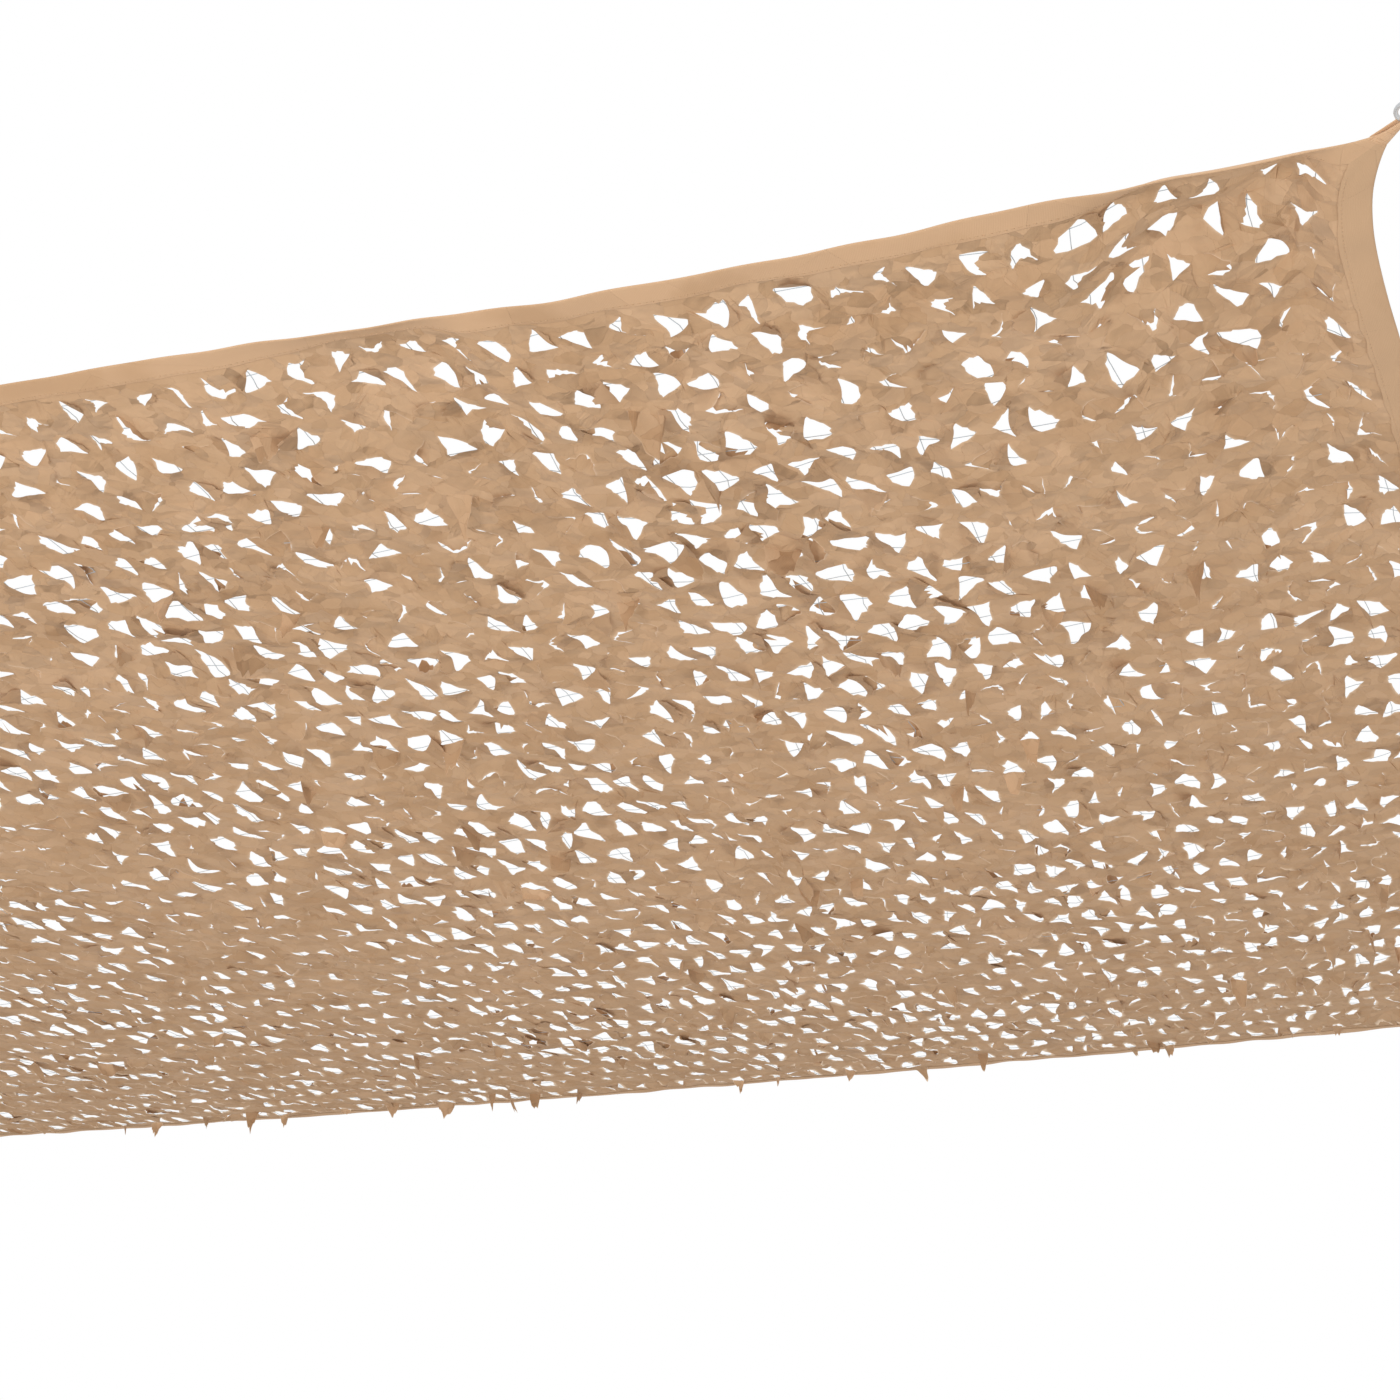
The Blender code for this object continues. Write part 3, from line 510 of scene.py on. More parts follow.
def cut_line(cells, size, share, place):
    """Places on the tongues at a place between hinge and arc; the arc is a few straight
    runs between corners, as in the solid, a little ragged."""
    corners = np.arange(CUT_RUNS + 1) / CUT_RUNS
    p, q = cut_places(cells, size, corners, np.full(len(corners), place))
    run = np.minimum((share * CUT_RUNS).astype(int), CUT_RUNS - 1)
    part = share * CUT_RUNS - run
    p = p[:, run] * (1 - part) + p[:, run + 1] * part
    q = q[:, run] * (1 - part) + q[:, run + 1] * part
    worn = 1 + place * cells["ragged"][:, np.round(share * ARC).astype(int)]
    return p * worn, q * worn


def turned_area(p, q):
    """Twice the area of outlines, positive where they run anticlockwise."""
    return (p * np.roll(q, -1, -1) - np.roll(p, -1, -1) * q).sum(-1)


def mark_largest(cells):
    """Marks the largest cut of each block of cells: those that the solid has too."""
    share = np.arange(CUT_RUNS + 1) / CUT_RUNS
    p, q = cut_places(cells, cells["size"], share, np.ones(len(share)))
    outlines = cell_points(cells["knots"], p, q)
    areas = np.abs(turned_area(outlines[..., 0], outlines[..., 1]))
    areas = areas.reshape(COLUMNS, ROWS)
    largest = np.zeros((COLUMNS, ROWS), bool)
    for column in range(0, COLUMNS, BLOCK_COLUMNS):
        for row in range(0, ROWS, BLOCK_ROWS):
            block = areas[column:column + BLOCK_COLUMNS, row:row + BLOCK_ROWS]
            i, j = np.unravel_index(np.argmax(block), block.shape)
            largest[column + i, row + j] = True
    return largest.reshape(-1)


def even_chances(draw):
    """A chance from 0 to 1 for every cell, one from each quarter in each four cells, so
    that the open cuts gather only where the cloth gapes."""
    chances = np.zeros((COLUMNS, ROWS))
    for column in range(0, COLUMNS, 2):
        for row in range(0, ROWS, 2):
            four = (draw.permutation(4) + draw.uniform(0, 1, 4)) / 4
            chances[column:column + 2, row:row + 2] = four.reshape(2, 2)
    return chances.reshape(-1)


def settle_tongues(cells):
    """How wide each leaf is cut, and how its tongue bends, twists and curls."""
    draw = np.random.default_rng(TONGUE_SEED)
    count = len(cells["size"])
    middle = cells["middle"]
    gape = openness(middle[:, 0], middle[:, 1])
    largest = mark_largest(cells)
    chance = even_chances(draw)
    for shut_a, shut_b, reach in SHUT_PLACES:
        chance[np.hypot(middle[:, 0] - shut_a, middle[:, 1] - shut_b) < reach] = 1.0
    near_seen = [np.hypot(*(middle - place).T).argmin() for place in WIDE_PLACES]
    chance[near_seen] = 0.0
    wide = (chance <= OPEN_SHARE + OPEN_GAIN * gape) | largest
    ajar = ~wide & (chance < OPEN_SHARE + OPEN_GAIN * gape + AJAR_SHARE)
    far_share = (middle[:, 1] + HALF_WIDTH) / WIDTH
    folded = draw.uniform(0, 1, count) < FOLD_NEAR + (FOLD_FAR - FOLD_NEAR) * far_share
    folded = wide & folded
    kinds = [folded, wide, ajar]
    bends = [draw.uniform(*range_, count) for range_ in (FOLD_BEND, HANG_BEND, AJAR_BEND)]
    bend = np.select(kinds, bends, draw.uniform(*SHUT_BEND, count))
    fold_up = FOLD_UP[0] + (FOLD_UP[1] - FOLD_UP[0]) * far_share
    up = draw.uniform(0, 1, count) < np.select(kinds, [fold_up, 0.0, AJAR_UP], SHUT_UP)
    up &= cells["place"][:, 1] >= CALM_ROWS
    reach = np.where(wide | ajar, 1.0, draw.uniform(*OVERLAP, count))
    reach[cells["place"][:, 1] < CALM_ROWS] *= CALM_REACH
    far_row = np.flatnonzero(cells["place"][:, 1] == ROWS - 1)
    for place, length in HANGING_LEAVES:
        index = far_row[np.abs(middle[far_row, 0] - place).argmin()]
        bend[index], up[index], reach[index] = draw.uniform(*HANGING_BEND), False, length
    shown = SHOWN_BASE + SHOWN_SPREAD * cells["size"]
    shown[near_seen] = SIZE_HIGH
    cells["shown"] = np.where(largest, cells["size"], shown)
    cells["bend"] = np.radians(bend) * np.where(up, 1.0, -1.0)
    cells["reach"] = reach
    cells["twist"] = np.radians(draw.normal(0, TWIST_SPREAD, count))
    curl = draw.normal(0, CURL_SPREAD, count)
    cells["curl"] = np.where(np.abs(curl) < CURL_LEAST, CURL_LEAST, curl)
    cells["rim"] = draw.uniform(0, 2 * np.pi, (count, RIM_WAVES))
    cells["ragged"] = draw.normal(0, RAGGED, (count, ARC + 1))
    cells["ragged"][:, [0, -1]] = 0.0
    cells["chink"] = draw.normal(0, CHINK, (count, ARC - 1))
    # A painted shade for each leaf, as if it caught the light at its own tilt
    cells["tone"] = draw.uniform(0, 1, count)


def fine_lattice(knots):
    """Flat places of the cells' border points, with three more lines out to the edge."""
    parts = AROUND // 4
    fine_a = np.arange(COLUMNS * parts + 1) / parts
    fine_b = np.arange(ROWS * parts + 1) / parts
    left = np.minimum(fine_a.astype(int), COLUMNS - 1)
    low = np.minimum(fine_b.astype(int), ROWS - 1)
    share_a = (fine_a - left)[:, None, None]
    share_b = (fine_b - low)[None, :, None]
    along = knots[left] * (1 - share_a) + knots[left + 1] * share_a
    inner = along[:, low] * (1 - share_b) + along[:, low + 1] * share_b
    lattice = np.pad(inner, ((RIM_LINES, RIM_LINES), (RIM_LINES, RIM_LINES), (0, 0)), "edge")
    for line in range(RIM_LINES):
        inset = EDGE_LINES[line]
        lattice[line, :, 0] = inset - HALF_LENGTH
        lattice[-1 - line, :, 0] = HALF_LENGTH - inset
        lattice[:, line, 1] = inset - HALF_WIDTH
        lattice[:, -1 - line, 1] = HALF_WIDTH - inset
    return lattice


def ring_points(cells):
    """Flat points of the rings from each cut out to its cell's border, and the border's
    places on the fine lattice."""
    parts = AROUND // 4
    back = np.linspace(1, 0, ARC + 1)[1:-1]
    arc_p, arc_q = cut_line(cells, cells["shown"], np.linspace(0, 1, ARC + 1), 1.0)
    hinge_p, hinge_q = cut_places(cells, cells["shown"], back, np.zeros(len(back)))
    p, q = np.concatenate([arc_p, hinge_p], 1), np.concatenate([arc_q, hinge_q], 1)
    steps = np.arange(parts)
    side_i = np.concatenate([steps, np.full(parts, parts), parts - steps, np.zeros(parts, int)])
    side_j = np.concatenate([np.zeros(parts, int), steps, np.full(parts, parts), parts - steps])
    forward = turned_area(p, q) > 0
    count = len(p)
    order = np.where(forward[:, None], np.arange(AROUND), -np.arange(AROUND)) % AROUND
    options = (order[:, None, :] + np.arange(AROUND)[None, :, None]) % AROUND
    border_p, border_q = 2 * side_i / parts - 1, 2 * side_j / parts - 1
    miss = (border_p[options] - p[:, None]) ** 2 + (border_q[options] - q[:, None]) ** 2
    best = miss.sum(-1).argmin(-1)
    chosen = options[np.arange(count), best]
    place = cells["place"] * parts + RIM_LINES
    border = np.stack([place[:, :1] + side_i[chosen], place[:, 1:] + side_j[chosen]], -1)
    rings = []
    for ring in RING_PLACES[:-1]:
        ring_p = p + (border_p[chosen] - p) * ring
        ring_q = q + (border_q[chosen] - q) * ring
        rings.append(cell_points(cells["knots"], ring_p, ring_q))
    return np.stack(rings, 1), border, forward


def stand_off(a, b, height):
    """Points at a height above the hung cloth, which follows its own small slack."""
    normal = hung_frame(a, b)[2]
    return hung(a, b) + normal * (slack(a, b) + height)[..., None]


def rim_waves(cells):
    """The uneven height of the cloth round each cut, strongest at the cut itself: it hangs
    from the net, so it mostly sinks."""
    turn = np.linspace(0, 2 * np.pi, AROUND, endpoint=False)
    wave = np.zeros((len(cells["rim"]), AROUND))
    for harmonic in range(RIM_WAVES):
        phase = cells["rim"][:, harmonic, None]
        wave = wave + np.sin((harmonic + 1) * turn + phase) / (harmonic + 1)
    fade = (1 - np.array(RING_PLACES[:-1])) ** RIM_FADE
    return RIM_HEIGHT * (wave - RIM_SINK)[:, None, :] * fade[None, :, None]


def tongue_points(cells, hinge):
    """The tongues' points, bent at the hinge and curled, and their flat places."""
    share = np.linspace(0, 1, ARC + 1)[1:-1]
    middle = cells["middle"]
    along, across, normal = (v[:, None] for v in hung_frame(middle[:, 0], middle[:, 1]))
    start_p, start_q = cut_places(cells, cells["shown"], share, np.zeros(len(share)))
    start = cell_points(cells["knots"], start_p, start_q)
    curl = cells["curl"][:, None]
    bend = cells["bend"][:, None] + cells["twist"][:, None] * (share - 0.5)
    rows, flats = [], []
    for place in TONGUE_PLACES:
        p, q = cut_line(cells, cells["shown"], share, place)
        flat = cell_points(cells["knots"], p, q)
        worn = 1 + cells["chink"] * place ** 2
        way = (flat - start) * (cells["reach"][:, None] * worn)[..., None]
        reach = np.linalg.norm(way, axis=-1)
        way = (along * way[..., :1] + across * way[..., 1:]) / reach[..., None]
        forward = (np.sin(bend + curl * reach) - np.sin(bend)) / curl
        upward = (np.cos(bend) - np.cos(bend + curl * reach)) / curl
        rows.append(hinge + way * forward[..., None] + normal * upward[..., None])
        flats.append(flat)
    points = np.stack(rows, 2)
    low, height = CAD_BOX[0].z - LOW_ROOM, points[..., 2]
    points[..., 2] = np.where(height < low, low + LOW_GIVE * (height - low), height)
    return points, np.stack(flats, 2)


def strips(first, second, forward):
    """Quads between two closed rows of point numbers, facing up in every cell."""
    quads = np.stack([first, second, np.roll(second, -1, 1), np.roll(first, -1, 1)], -1)
    return np.where(forward[:, None, None], quads, quads[..., ::-1]).reshape(-1, 4)


def tongue_faces(hinge, numbers, forward):
    """Quads and end triangles of the tongues; numbers hold each one's points by share."""
    grid = np.concatenate([hinge[:, 1:-1, None], numbers], 2)
    quads = np.stack([grid[:, :-1, :-1], grid[:, :-1, 1:], grid[:, 1:, 1:], grid[:, 1:, :-1]], -1)
    quads = np.where(forward[:, None, None, None], quads, quads[..., ::-1]).reshape(-1, 4)
    ends = []
    for end, column, flip in ((hinge[:, 0], grid[:, 0], False), (hinge[:, -1], grid[:, -1], True)):
        tip = np.repeat(end[:, None], TONGUE_ROWS, 1)
        fan = np.stack([tip, column[:, 1:], column[:, :-1]], -1)
        turned = forward[:, None, None] != flip
        ends.append(np.where(turned, fan, fan[..., ::-1]).reshape(-1, 3))
    return quads, np.concatenate(ends)


def border_strips(lattice, low, high):
    """Quads of the plain cloth between the field and the edge, in part of the lattice."""
    quads = []
    last_i, last_j = lattice.shape[0] - 1 - RIM_LINES, lattice.shape[1] - 1 - RIM_LINES
    for i in range(low[0], high[0]):
        for j in range(low[1], high[1]):
            if i < RIM_LINES or i >= last_i or j < RIM_LINES or j >= last_j:
                quads.append([[i, j], [i + 1, j], [i + 1, j + 1], [i, j + 1]])
    return np.array(quads)


def place_object(name, data):
    """A new object in the scene."""
    thing = bpy.data.objects.new(name, data)
    bpy.context.scene.collection.objects.link(thing)
    return thing


def make_mesh(name, points, faces, material, flat=None, values=None):
    """A mesh object, smooth unless it carries values for its material, a number to each
    point by name; flat places become its UV map, in metres of the cut cloth."""
    mesh = bpy.data.meshes.new(name)
    mesh.from_pydata(points, [], faces)
    mesh.materials.append(material)
    if values is None:
        mesh.shade_smooth()
    if flat is not None:
        numbers = np.zeros(len(mesh.loops), np.int32)
        mesh.loops.foreach_get("vertex_index", numbers)
        layer = mesh.uv_layers.new(name="flat cloth")
        layer.uv.foreach_set("vector", np.asarray(flat, np.float32)[numbers].ravel())
    for label, numbers in (values or {}).items():
        mesh.attributes.new(label, "FLOAT", "POINT").data.foreach_set("value", numbers)
    return place_object(name, mesh)


def make_quarter(name, all_cells, lattice, half_i, half_j, material):
    """A quarter of the leaf-cut cloth, with its tongues and its plain border."""
    column, row = all_cells["place"][:, 0], all_cells["place"][:, 1]
    chosen = ((column >= COLUMNS // 2) == half_i) & ((row >= ROWS // 2) == half_j)
    cells = {key: value[chosen] for key, value in all_cells.items()}
    count = len(cells["size"])
    rings, border, forward = ring_points(cells)
    middle_i, middle_j = lattice.shape[0] // 2, lattice.shape[1] // 2
    low = (middle_i if half_i else 0, middle_j if half_j else 0)
    high = (lattice.shape[0] - 1 if half_i else middle_i,
            lattice.shape[1] - 1 if half_j else middle_j)
    plain = border_strips(lattice, low, high)
    places = np.concatenate([border.reshape(-1, 2), plain.reshape(-1, 2)])
    codes, numbers = np.unique(places[:, 0] * lattice.shape[1] + places[:, 1],
                               return_inverse=True)
    shared = lattice[codes // lattice.shape[1], codes % lattice.shape[1]]
    shared_a, shared_b = shifted(shared[:, 0], shared[:, 1])
    shared_points = stand_off(shared_a, shared_b, crumple(shared_a, shared_b))
    ring_a, ring_b = shifted(rings[..., 0], rings[..., 1])
    waved = RIM_CALM + (1 - RIM_CALM) * calm(ring_a, ring_b)
    height = crumple(ring_a, ring_b) + rim_waves(cells) * waved
    ring_places = stand_off(ring_a, ring_b, height)
    on_hinge = np.array([0] + list(range(AROUND - 1, ARC - 1, -1)))
    tongues, tongue_flat = tongue_points(cells, ring_places[:, 0][:, on_hinge[1:-1]])
    points = np.concatenate([shared_points, ring_places.reshape(-1, 3), tongues.reshape(-1, 3)])
    flat = np.concatenate([shared, rings.reshape(-1, 2), tongue_flat.reshape(-1, 2)])
    border_numbers = numbers[:count * AROUND].reshape(count, AROUND)
    plain_numbers = numbers[count * AROUND:].reshape(-1, 4)
    ring_count = len(RING_PLACES) - 1
    ring_numbers = len(codes) + np.arange(count * ring_count * AROUND)
    ring_numbers = ring_numbers.reshape(count, ring_count, AROUND)
    first = len(codes) + count * ring_count * AROUND
    tongue_numbers = first + np.arange(count * (ARC - 1) * TONGUE_ROWS)
    tongue_numbers = tongue_numbers.reshape(count, ARC - 1, TONGUE_ROWS)
    rows = [ring_numbers[:, ring] for ring in range(ring_count)] + [border_numbers]
    webs = [strips(first_row, second, forward) for first_row, second in zip(rows, rows[1:])]
    quads, ends = tongue_faces(ring_numbers[:, 0][:, on_hinge], tongue_numbers, forward)
    faces = np.concatenate(webs + [quads, plain_numbers]).tolist() + ends.tolist()
    # Points on the cut edges, where the cloth material paints a highlight
    cut = np.zeros(len(points), np.float32)
    cut[ring_numbers[:, 0, :ARC + 1]] = 1.0
    cut[tongue_numbers[:, :, -1]] = 1.0
    # Painted shade: each tongue's own value, a middle one on the cloth between the leaves
    tone = np.full(len(points), PLAIN_LEAF_SHADE, np.float32)
    tone[tongue_numbers] = cells["tone"][:, None, None]
    values = {"cut edge": cut, "leaf shade": tone}
    return make_mesh(name, points.tolist(), faces, material, flat, values)


def edge_length(edge):
    return LENGTH if edge in ("near", "far") else WIDTH


def edge_point(edge, distance, inward):
    """Flat points at a distance along an edge and inward from it, mitred at the corners."""
    length = edge_length(edge)
    near_end = np.maximum(0.0, 1 - distance / MITRE_RUN)
    far_end = np.maximum(0.0, 1 - (length - distance) / MITRE_RUN)
    along = distance + inward * (near_end - far_end)
    places = {
        "near": (along - HALF_LENGTH, inward - HALF_WIDTH),
        "right": (HALF_LENGTH - inward, along - HALF_WIDTH),
        "far": (HALF_LENGTH - along, HALF_WIDTH - inward),
        "left": (inward - HALF_LENGTH, HALF_WIDTH - along),
    }
    a, b = places[edge]
    return np.broadcast_arrays(a, b)


def band_profile():
    """The tape's section, inward and height, from one turned-in edge over the fold."""
    lower_leg = [(inward, -height) for inward, height in reversed(BAND_LEG)]
    return [*BAND_LEG, (0.0, 0.0), *lower_leg]


def run_along(first, second):
    """How far along an open line each of its points lies."""
    return np.concatenate([[0], np.cumsum(np.hypot(np.diff(first), np.diff(second)))])


def make_band(edge, material):
    """One binding tape, folded over the edge and mitred at both corners."""
    length = edge_length(edge)
    stations = np.linspace(0, length, int(length / BAND_STATION) + 1)[:, None]
    inward, height = np.array(band_profile()).T
    place_a, place_b = edge_point(edge, stations, inward)
    amount, *waves = BAND_WOBBLE
    wobble = amount * rough(place_a, place_b, *waves) * inward / BAND_WIDTH
    place_a, place_b = edge_point(edge, stations, inward + wobble)
    leg = np.sign(height) * (np.abs(height) * BAND_HALF)
    points = stand_off(place_a, place_b, np.broadcast_to(leg, place_a.shape))
    count, around = len(stations), len(inward)
    numbers = np.arange(count * around).reshape(count, around)
    quads = np.stack([numbers[:-1, :-1], numbers[:-1, 1:], numbers[1:, 1:], numbers[1:, :-1]], -1)
    flat_along = np.broadcast_to(stations, place_a.shape)
    run = run_along(inward, height * BAND_HALF)
    flat = np.stack([flat_along, np.broadcast_to(run, place_a.shape)], -1).reshape(-1, 2)
    return make_mesh("sewn_binding_" + edge, points.reshape(-1, 3).tolist(),
                     quads.reshape(-1, 4).tolist(), material, flat)


def corner_frame(side_a, side_b):
    """The tip of a corner, the way out along the diagonal, the width and the normal."""
    a, b = side_a * HALF_LENGTH, side_b * HALF_WIDTH
    tip = hung(np.array(a), np.array(b))
    a, b = np.array(a - side_a * TAB_LAP / 2), np.array(b - side_b * TAB_LAP / 2)
    outward = unit(tip - hung(a, b))
    normal = hung_frame(a, b)[2]
    normal = unit(normal - outward * normal.dot(outward))
    return tip, outward, np.cross(normal, outward), normal


def closed_tube(sections, wrap):
    """Quads between closed sections of points, each joined to the next."""
    count, around = sections.shape[:2]
    numbers = np.arange(count * around).reshape(count, around)
    following = np.roll(numbers, -1, 0) if wrap else numbers[1:]
    start = numbers if wrap else numbers[:-1]
    quads = np.stack([start, following, np.roll(following, -1, 1), np.roll(start, -1, 1)], -1)
    return quads.reshape(-1, 4).tolist()


def make_ring(name, frame_axes, material):
    """A welded round ring of steel wire, lying in the plane of the corner."""
    tip, outward, across, normal = frame_axes
    centre = tip + outward * RING_OFFSET
    turn = np.linspace(0, 2 * np.pi, RING_STEPS, endpoint=False)[:, None, None]
    bend = np.linspace(0, 2 * np.pi, WIRE_STEPS, endpoint=False)[None, :, None]
    weld = 1 + WELD_SWELL * np.exp(-((turn - WELD_TURN) / WELD_SPREAD) ** 2)
    spoke = outward * np.cos(turn) + across * np.sin(turn)
    radius = RING_RADIUS + RING_WIRE * weld * np.cos(bend)
    points = centre + spoke * radius + normal * RING_WIRE * weld * np.sin(bend)
    faces = closed_tube(points, True)
    return make_mesh(name, points.reshape(-1, 3).tolist(), faces, material)


def tab_half(forward):
    """Half the tab's width at a distance beyond the tip: it comes to a point there."""
    return np.interp(forward, (-TAB_LAP, 0.0), (LAP_WIDTH / 2, LOOP_WIDTH / 2))


def tab_rise(forward):
    """How far the tab stands off the cloth's middle: it comes down to the tape."""
    return np.interp(forward, (-TAB_LAP, 0.0), (TAB_REST, TAB_TURN + TAB_THICK / 2))


def make_tab(name, frame_axes, material):
    """A pointed ribbed tape that laps both faces of the tip and turns round the ring."""
    tip, outward, across, normal = frame_axes
    bow = RING_RADIUS - math.sqrt(RING_RADIUS ** 2 - (LOOP_WIDTH / 2) ** 2)
    turn_at = RING_OFFSET - RING_RADIUS + bow
    middle = TAB_TURN + TAB_THICK / 2
    bends = np.linspace(-np.pi / 2, np.pi / 2, TAB_STEPS)
    lap = np.linspace(-TAB_LAP, turn_at, TAB_ROWS + 1)[:-1]
    rise = tab_rise(lap)
    forward = np.concatenate([lap, turn_at + middle * np.cos(bends), lap[::-1]])
    upward = np.concatenate([-rise, middle * np.sin(bends), rise[::-1]])
    way = unit(np.stack([np.gradient(forward), np.gradient(upward)], -1))
    half = tab_half(forward)
    corners = ((-1, -0.5), (-1, 0.5), (-TAB_SHOULDER, 1), (TAB_SHOULDER, 1), (1, 0.5),
               (1, -0.5), (TAB_SHOULDER, -1), (-TAB_SHOULDER, -1))
    sections = []
    for side, thick in corners:
        off = thick * TAB_THICK / 2
        place_f = forward + way[:, 1] * off
        place_u = upward - way[:, 0] * off
        sections.append(tip + outward * place_f[:, None] + normal * place_u[:, None]
                        + across * (side * half)[:, None])
    points = np.stack(sections, 1)
    faces = closed_tube(points, False)
    around = len(corners)
    faces.append(list(range(around))[::-1])
    faces.append(list(range((len(forward) - 1) * around, len(forward) * around)))
    run = run_along(forward, upward)
    flat = np.stack([np.broadcast_to(run[:, None], points.shape[:2]),
                     half[:, None] * [side for side, thick in corners]], -1)
    return make_mesh(name, points.reshape(-1, 3).tolist(), faces, material, flat.reshape(-1, 2))


def colour(code):
    """An sRGB hex colour as linear red, green, blue and alpha."""
    channels = [int(code[i:i + 2], 16) / 255 for i in (1, 3, 5)]
    return [c / 12.92 if c <= 0.04045 else ((c + 0.055) / 1.055) ** 2.4 for c in channels] + [1]


def add(tree, kind, inputs=None, **settings):
    """Adds a node with its settings; an input takes a value, or a link from a socket."""
    node = tree.nodes.new(kind)
    for key, value in settings.items():
        setattr(node, key, value)
    for key, value in (inputs or {}).items():
        if isinstance(value, bpy.types.NodeSocket):
            tree.links.new(value, node.inputs[key])
        else:
            node.inputs[key].default_value = value
    return node


def new_material(name):
    """An empty material, and its tree."""
    material = bpy.data.materials.new(name)
    material.use_nodes = True
    material.node_tree.nodes.clear()
    return material, material.node_tree


def finish_surface(tree, height, inputs, strength, distance):
    """Ends a material: the shader with its inputs, and a relief on it."""
    bump = add(tree, "ShaderNodeBump",
               {"Strength": strength, "Distance": distance, "Height": height})
    shader = add(tree, "ShaderNodeBsdfPrincipled", {**inputs, "Normal": bump.outputs["Normal"]})
    add(tree, "ShaderNodeOutputMaterial", {"Surface": shader.outputs[0]})


def blotches(tree, place, tones, scale, low, high):
    """Soft patches that run between hex tones, over the noise from low to high."""
    noise = add(tree, "ShaderNodeTexNoise", {"Scale": scale, "Detail": 3.0, "Vector": place})
    ramp = add(tree, "ShaderNodeValToRGB", {"Fac": noise.outputs["Fac"]})
    stops = ramp.color_ramp.elements
    while len(stops) < len(tones):
        stops.new(0.5)
    for index, tone in enumerate(tones):
        stops[index].position = low + (high - low) * index / (len(tones) - 1)
        stops[index].color = colour(tone)
    return ramp.outputs["Color"]


def plain_weave(tree, place, pitch):
    """The relief of a plain weave: threads of one pitch crossing at right angles."""
    warp, weft = (
        add(tree, "ShaderNodeTexWave", {"Scale": METRE_WAVE / pitch, "Vector": place},
            wave_type="BANDS", bands_direction=direction).outputs["Fac"]
        for direction in ("X", "Y"))
    return add(tree, "ShaderNodeMath", {0: warp, 1: weft}, operation="MULTIPLY").outputs[0]


def facets(tree, place, scale):
    """Flat facets of creased cloth: a painted shade for each, as if it caught the light at its
    own tilt, and a relief that tilts it.
    """
    cells = add(tree, "ShaderNodeTexVoronoi",
                {"Scale": scale, "Randomness": 1.0, "Vector": place}).outputs
    scaled, centre = (
        add(tree, "ShaderNodeVectorMath", {0: point, 1: (scale, scale, scale)},
            operation="MULTIPLY").outputs[0]
        for point in (place, cells["Position"]))
    off, tilt = (
        add(tree, "ShaderNodeVectorMath", {0: first, 1: second}, operation="SUBTRACT").outputs[0]
        for first, second in ((scaled, centre), (cells["Color"], (0.5, 0.5, 0.5))))
    height = add(tree, "ShaderNodeVectorMath", {0: off, 1: tilt}, operation="DOT_PRODUCT")
    painted_shade = add(tree, "ShaderNodeSeparateXYZ", {0: cells["Color"]})
    return painted_shade.outputs["X"], height.outputs["Value"]


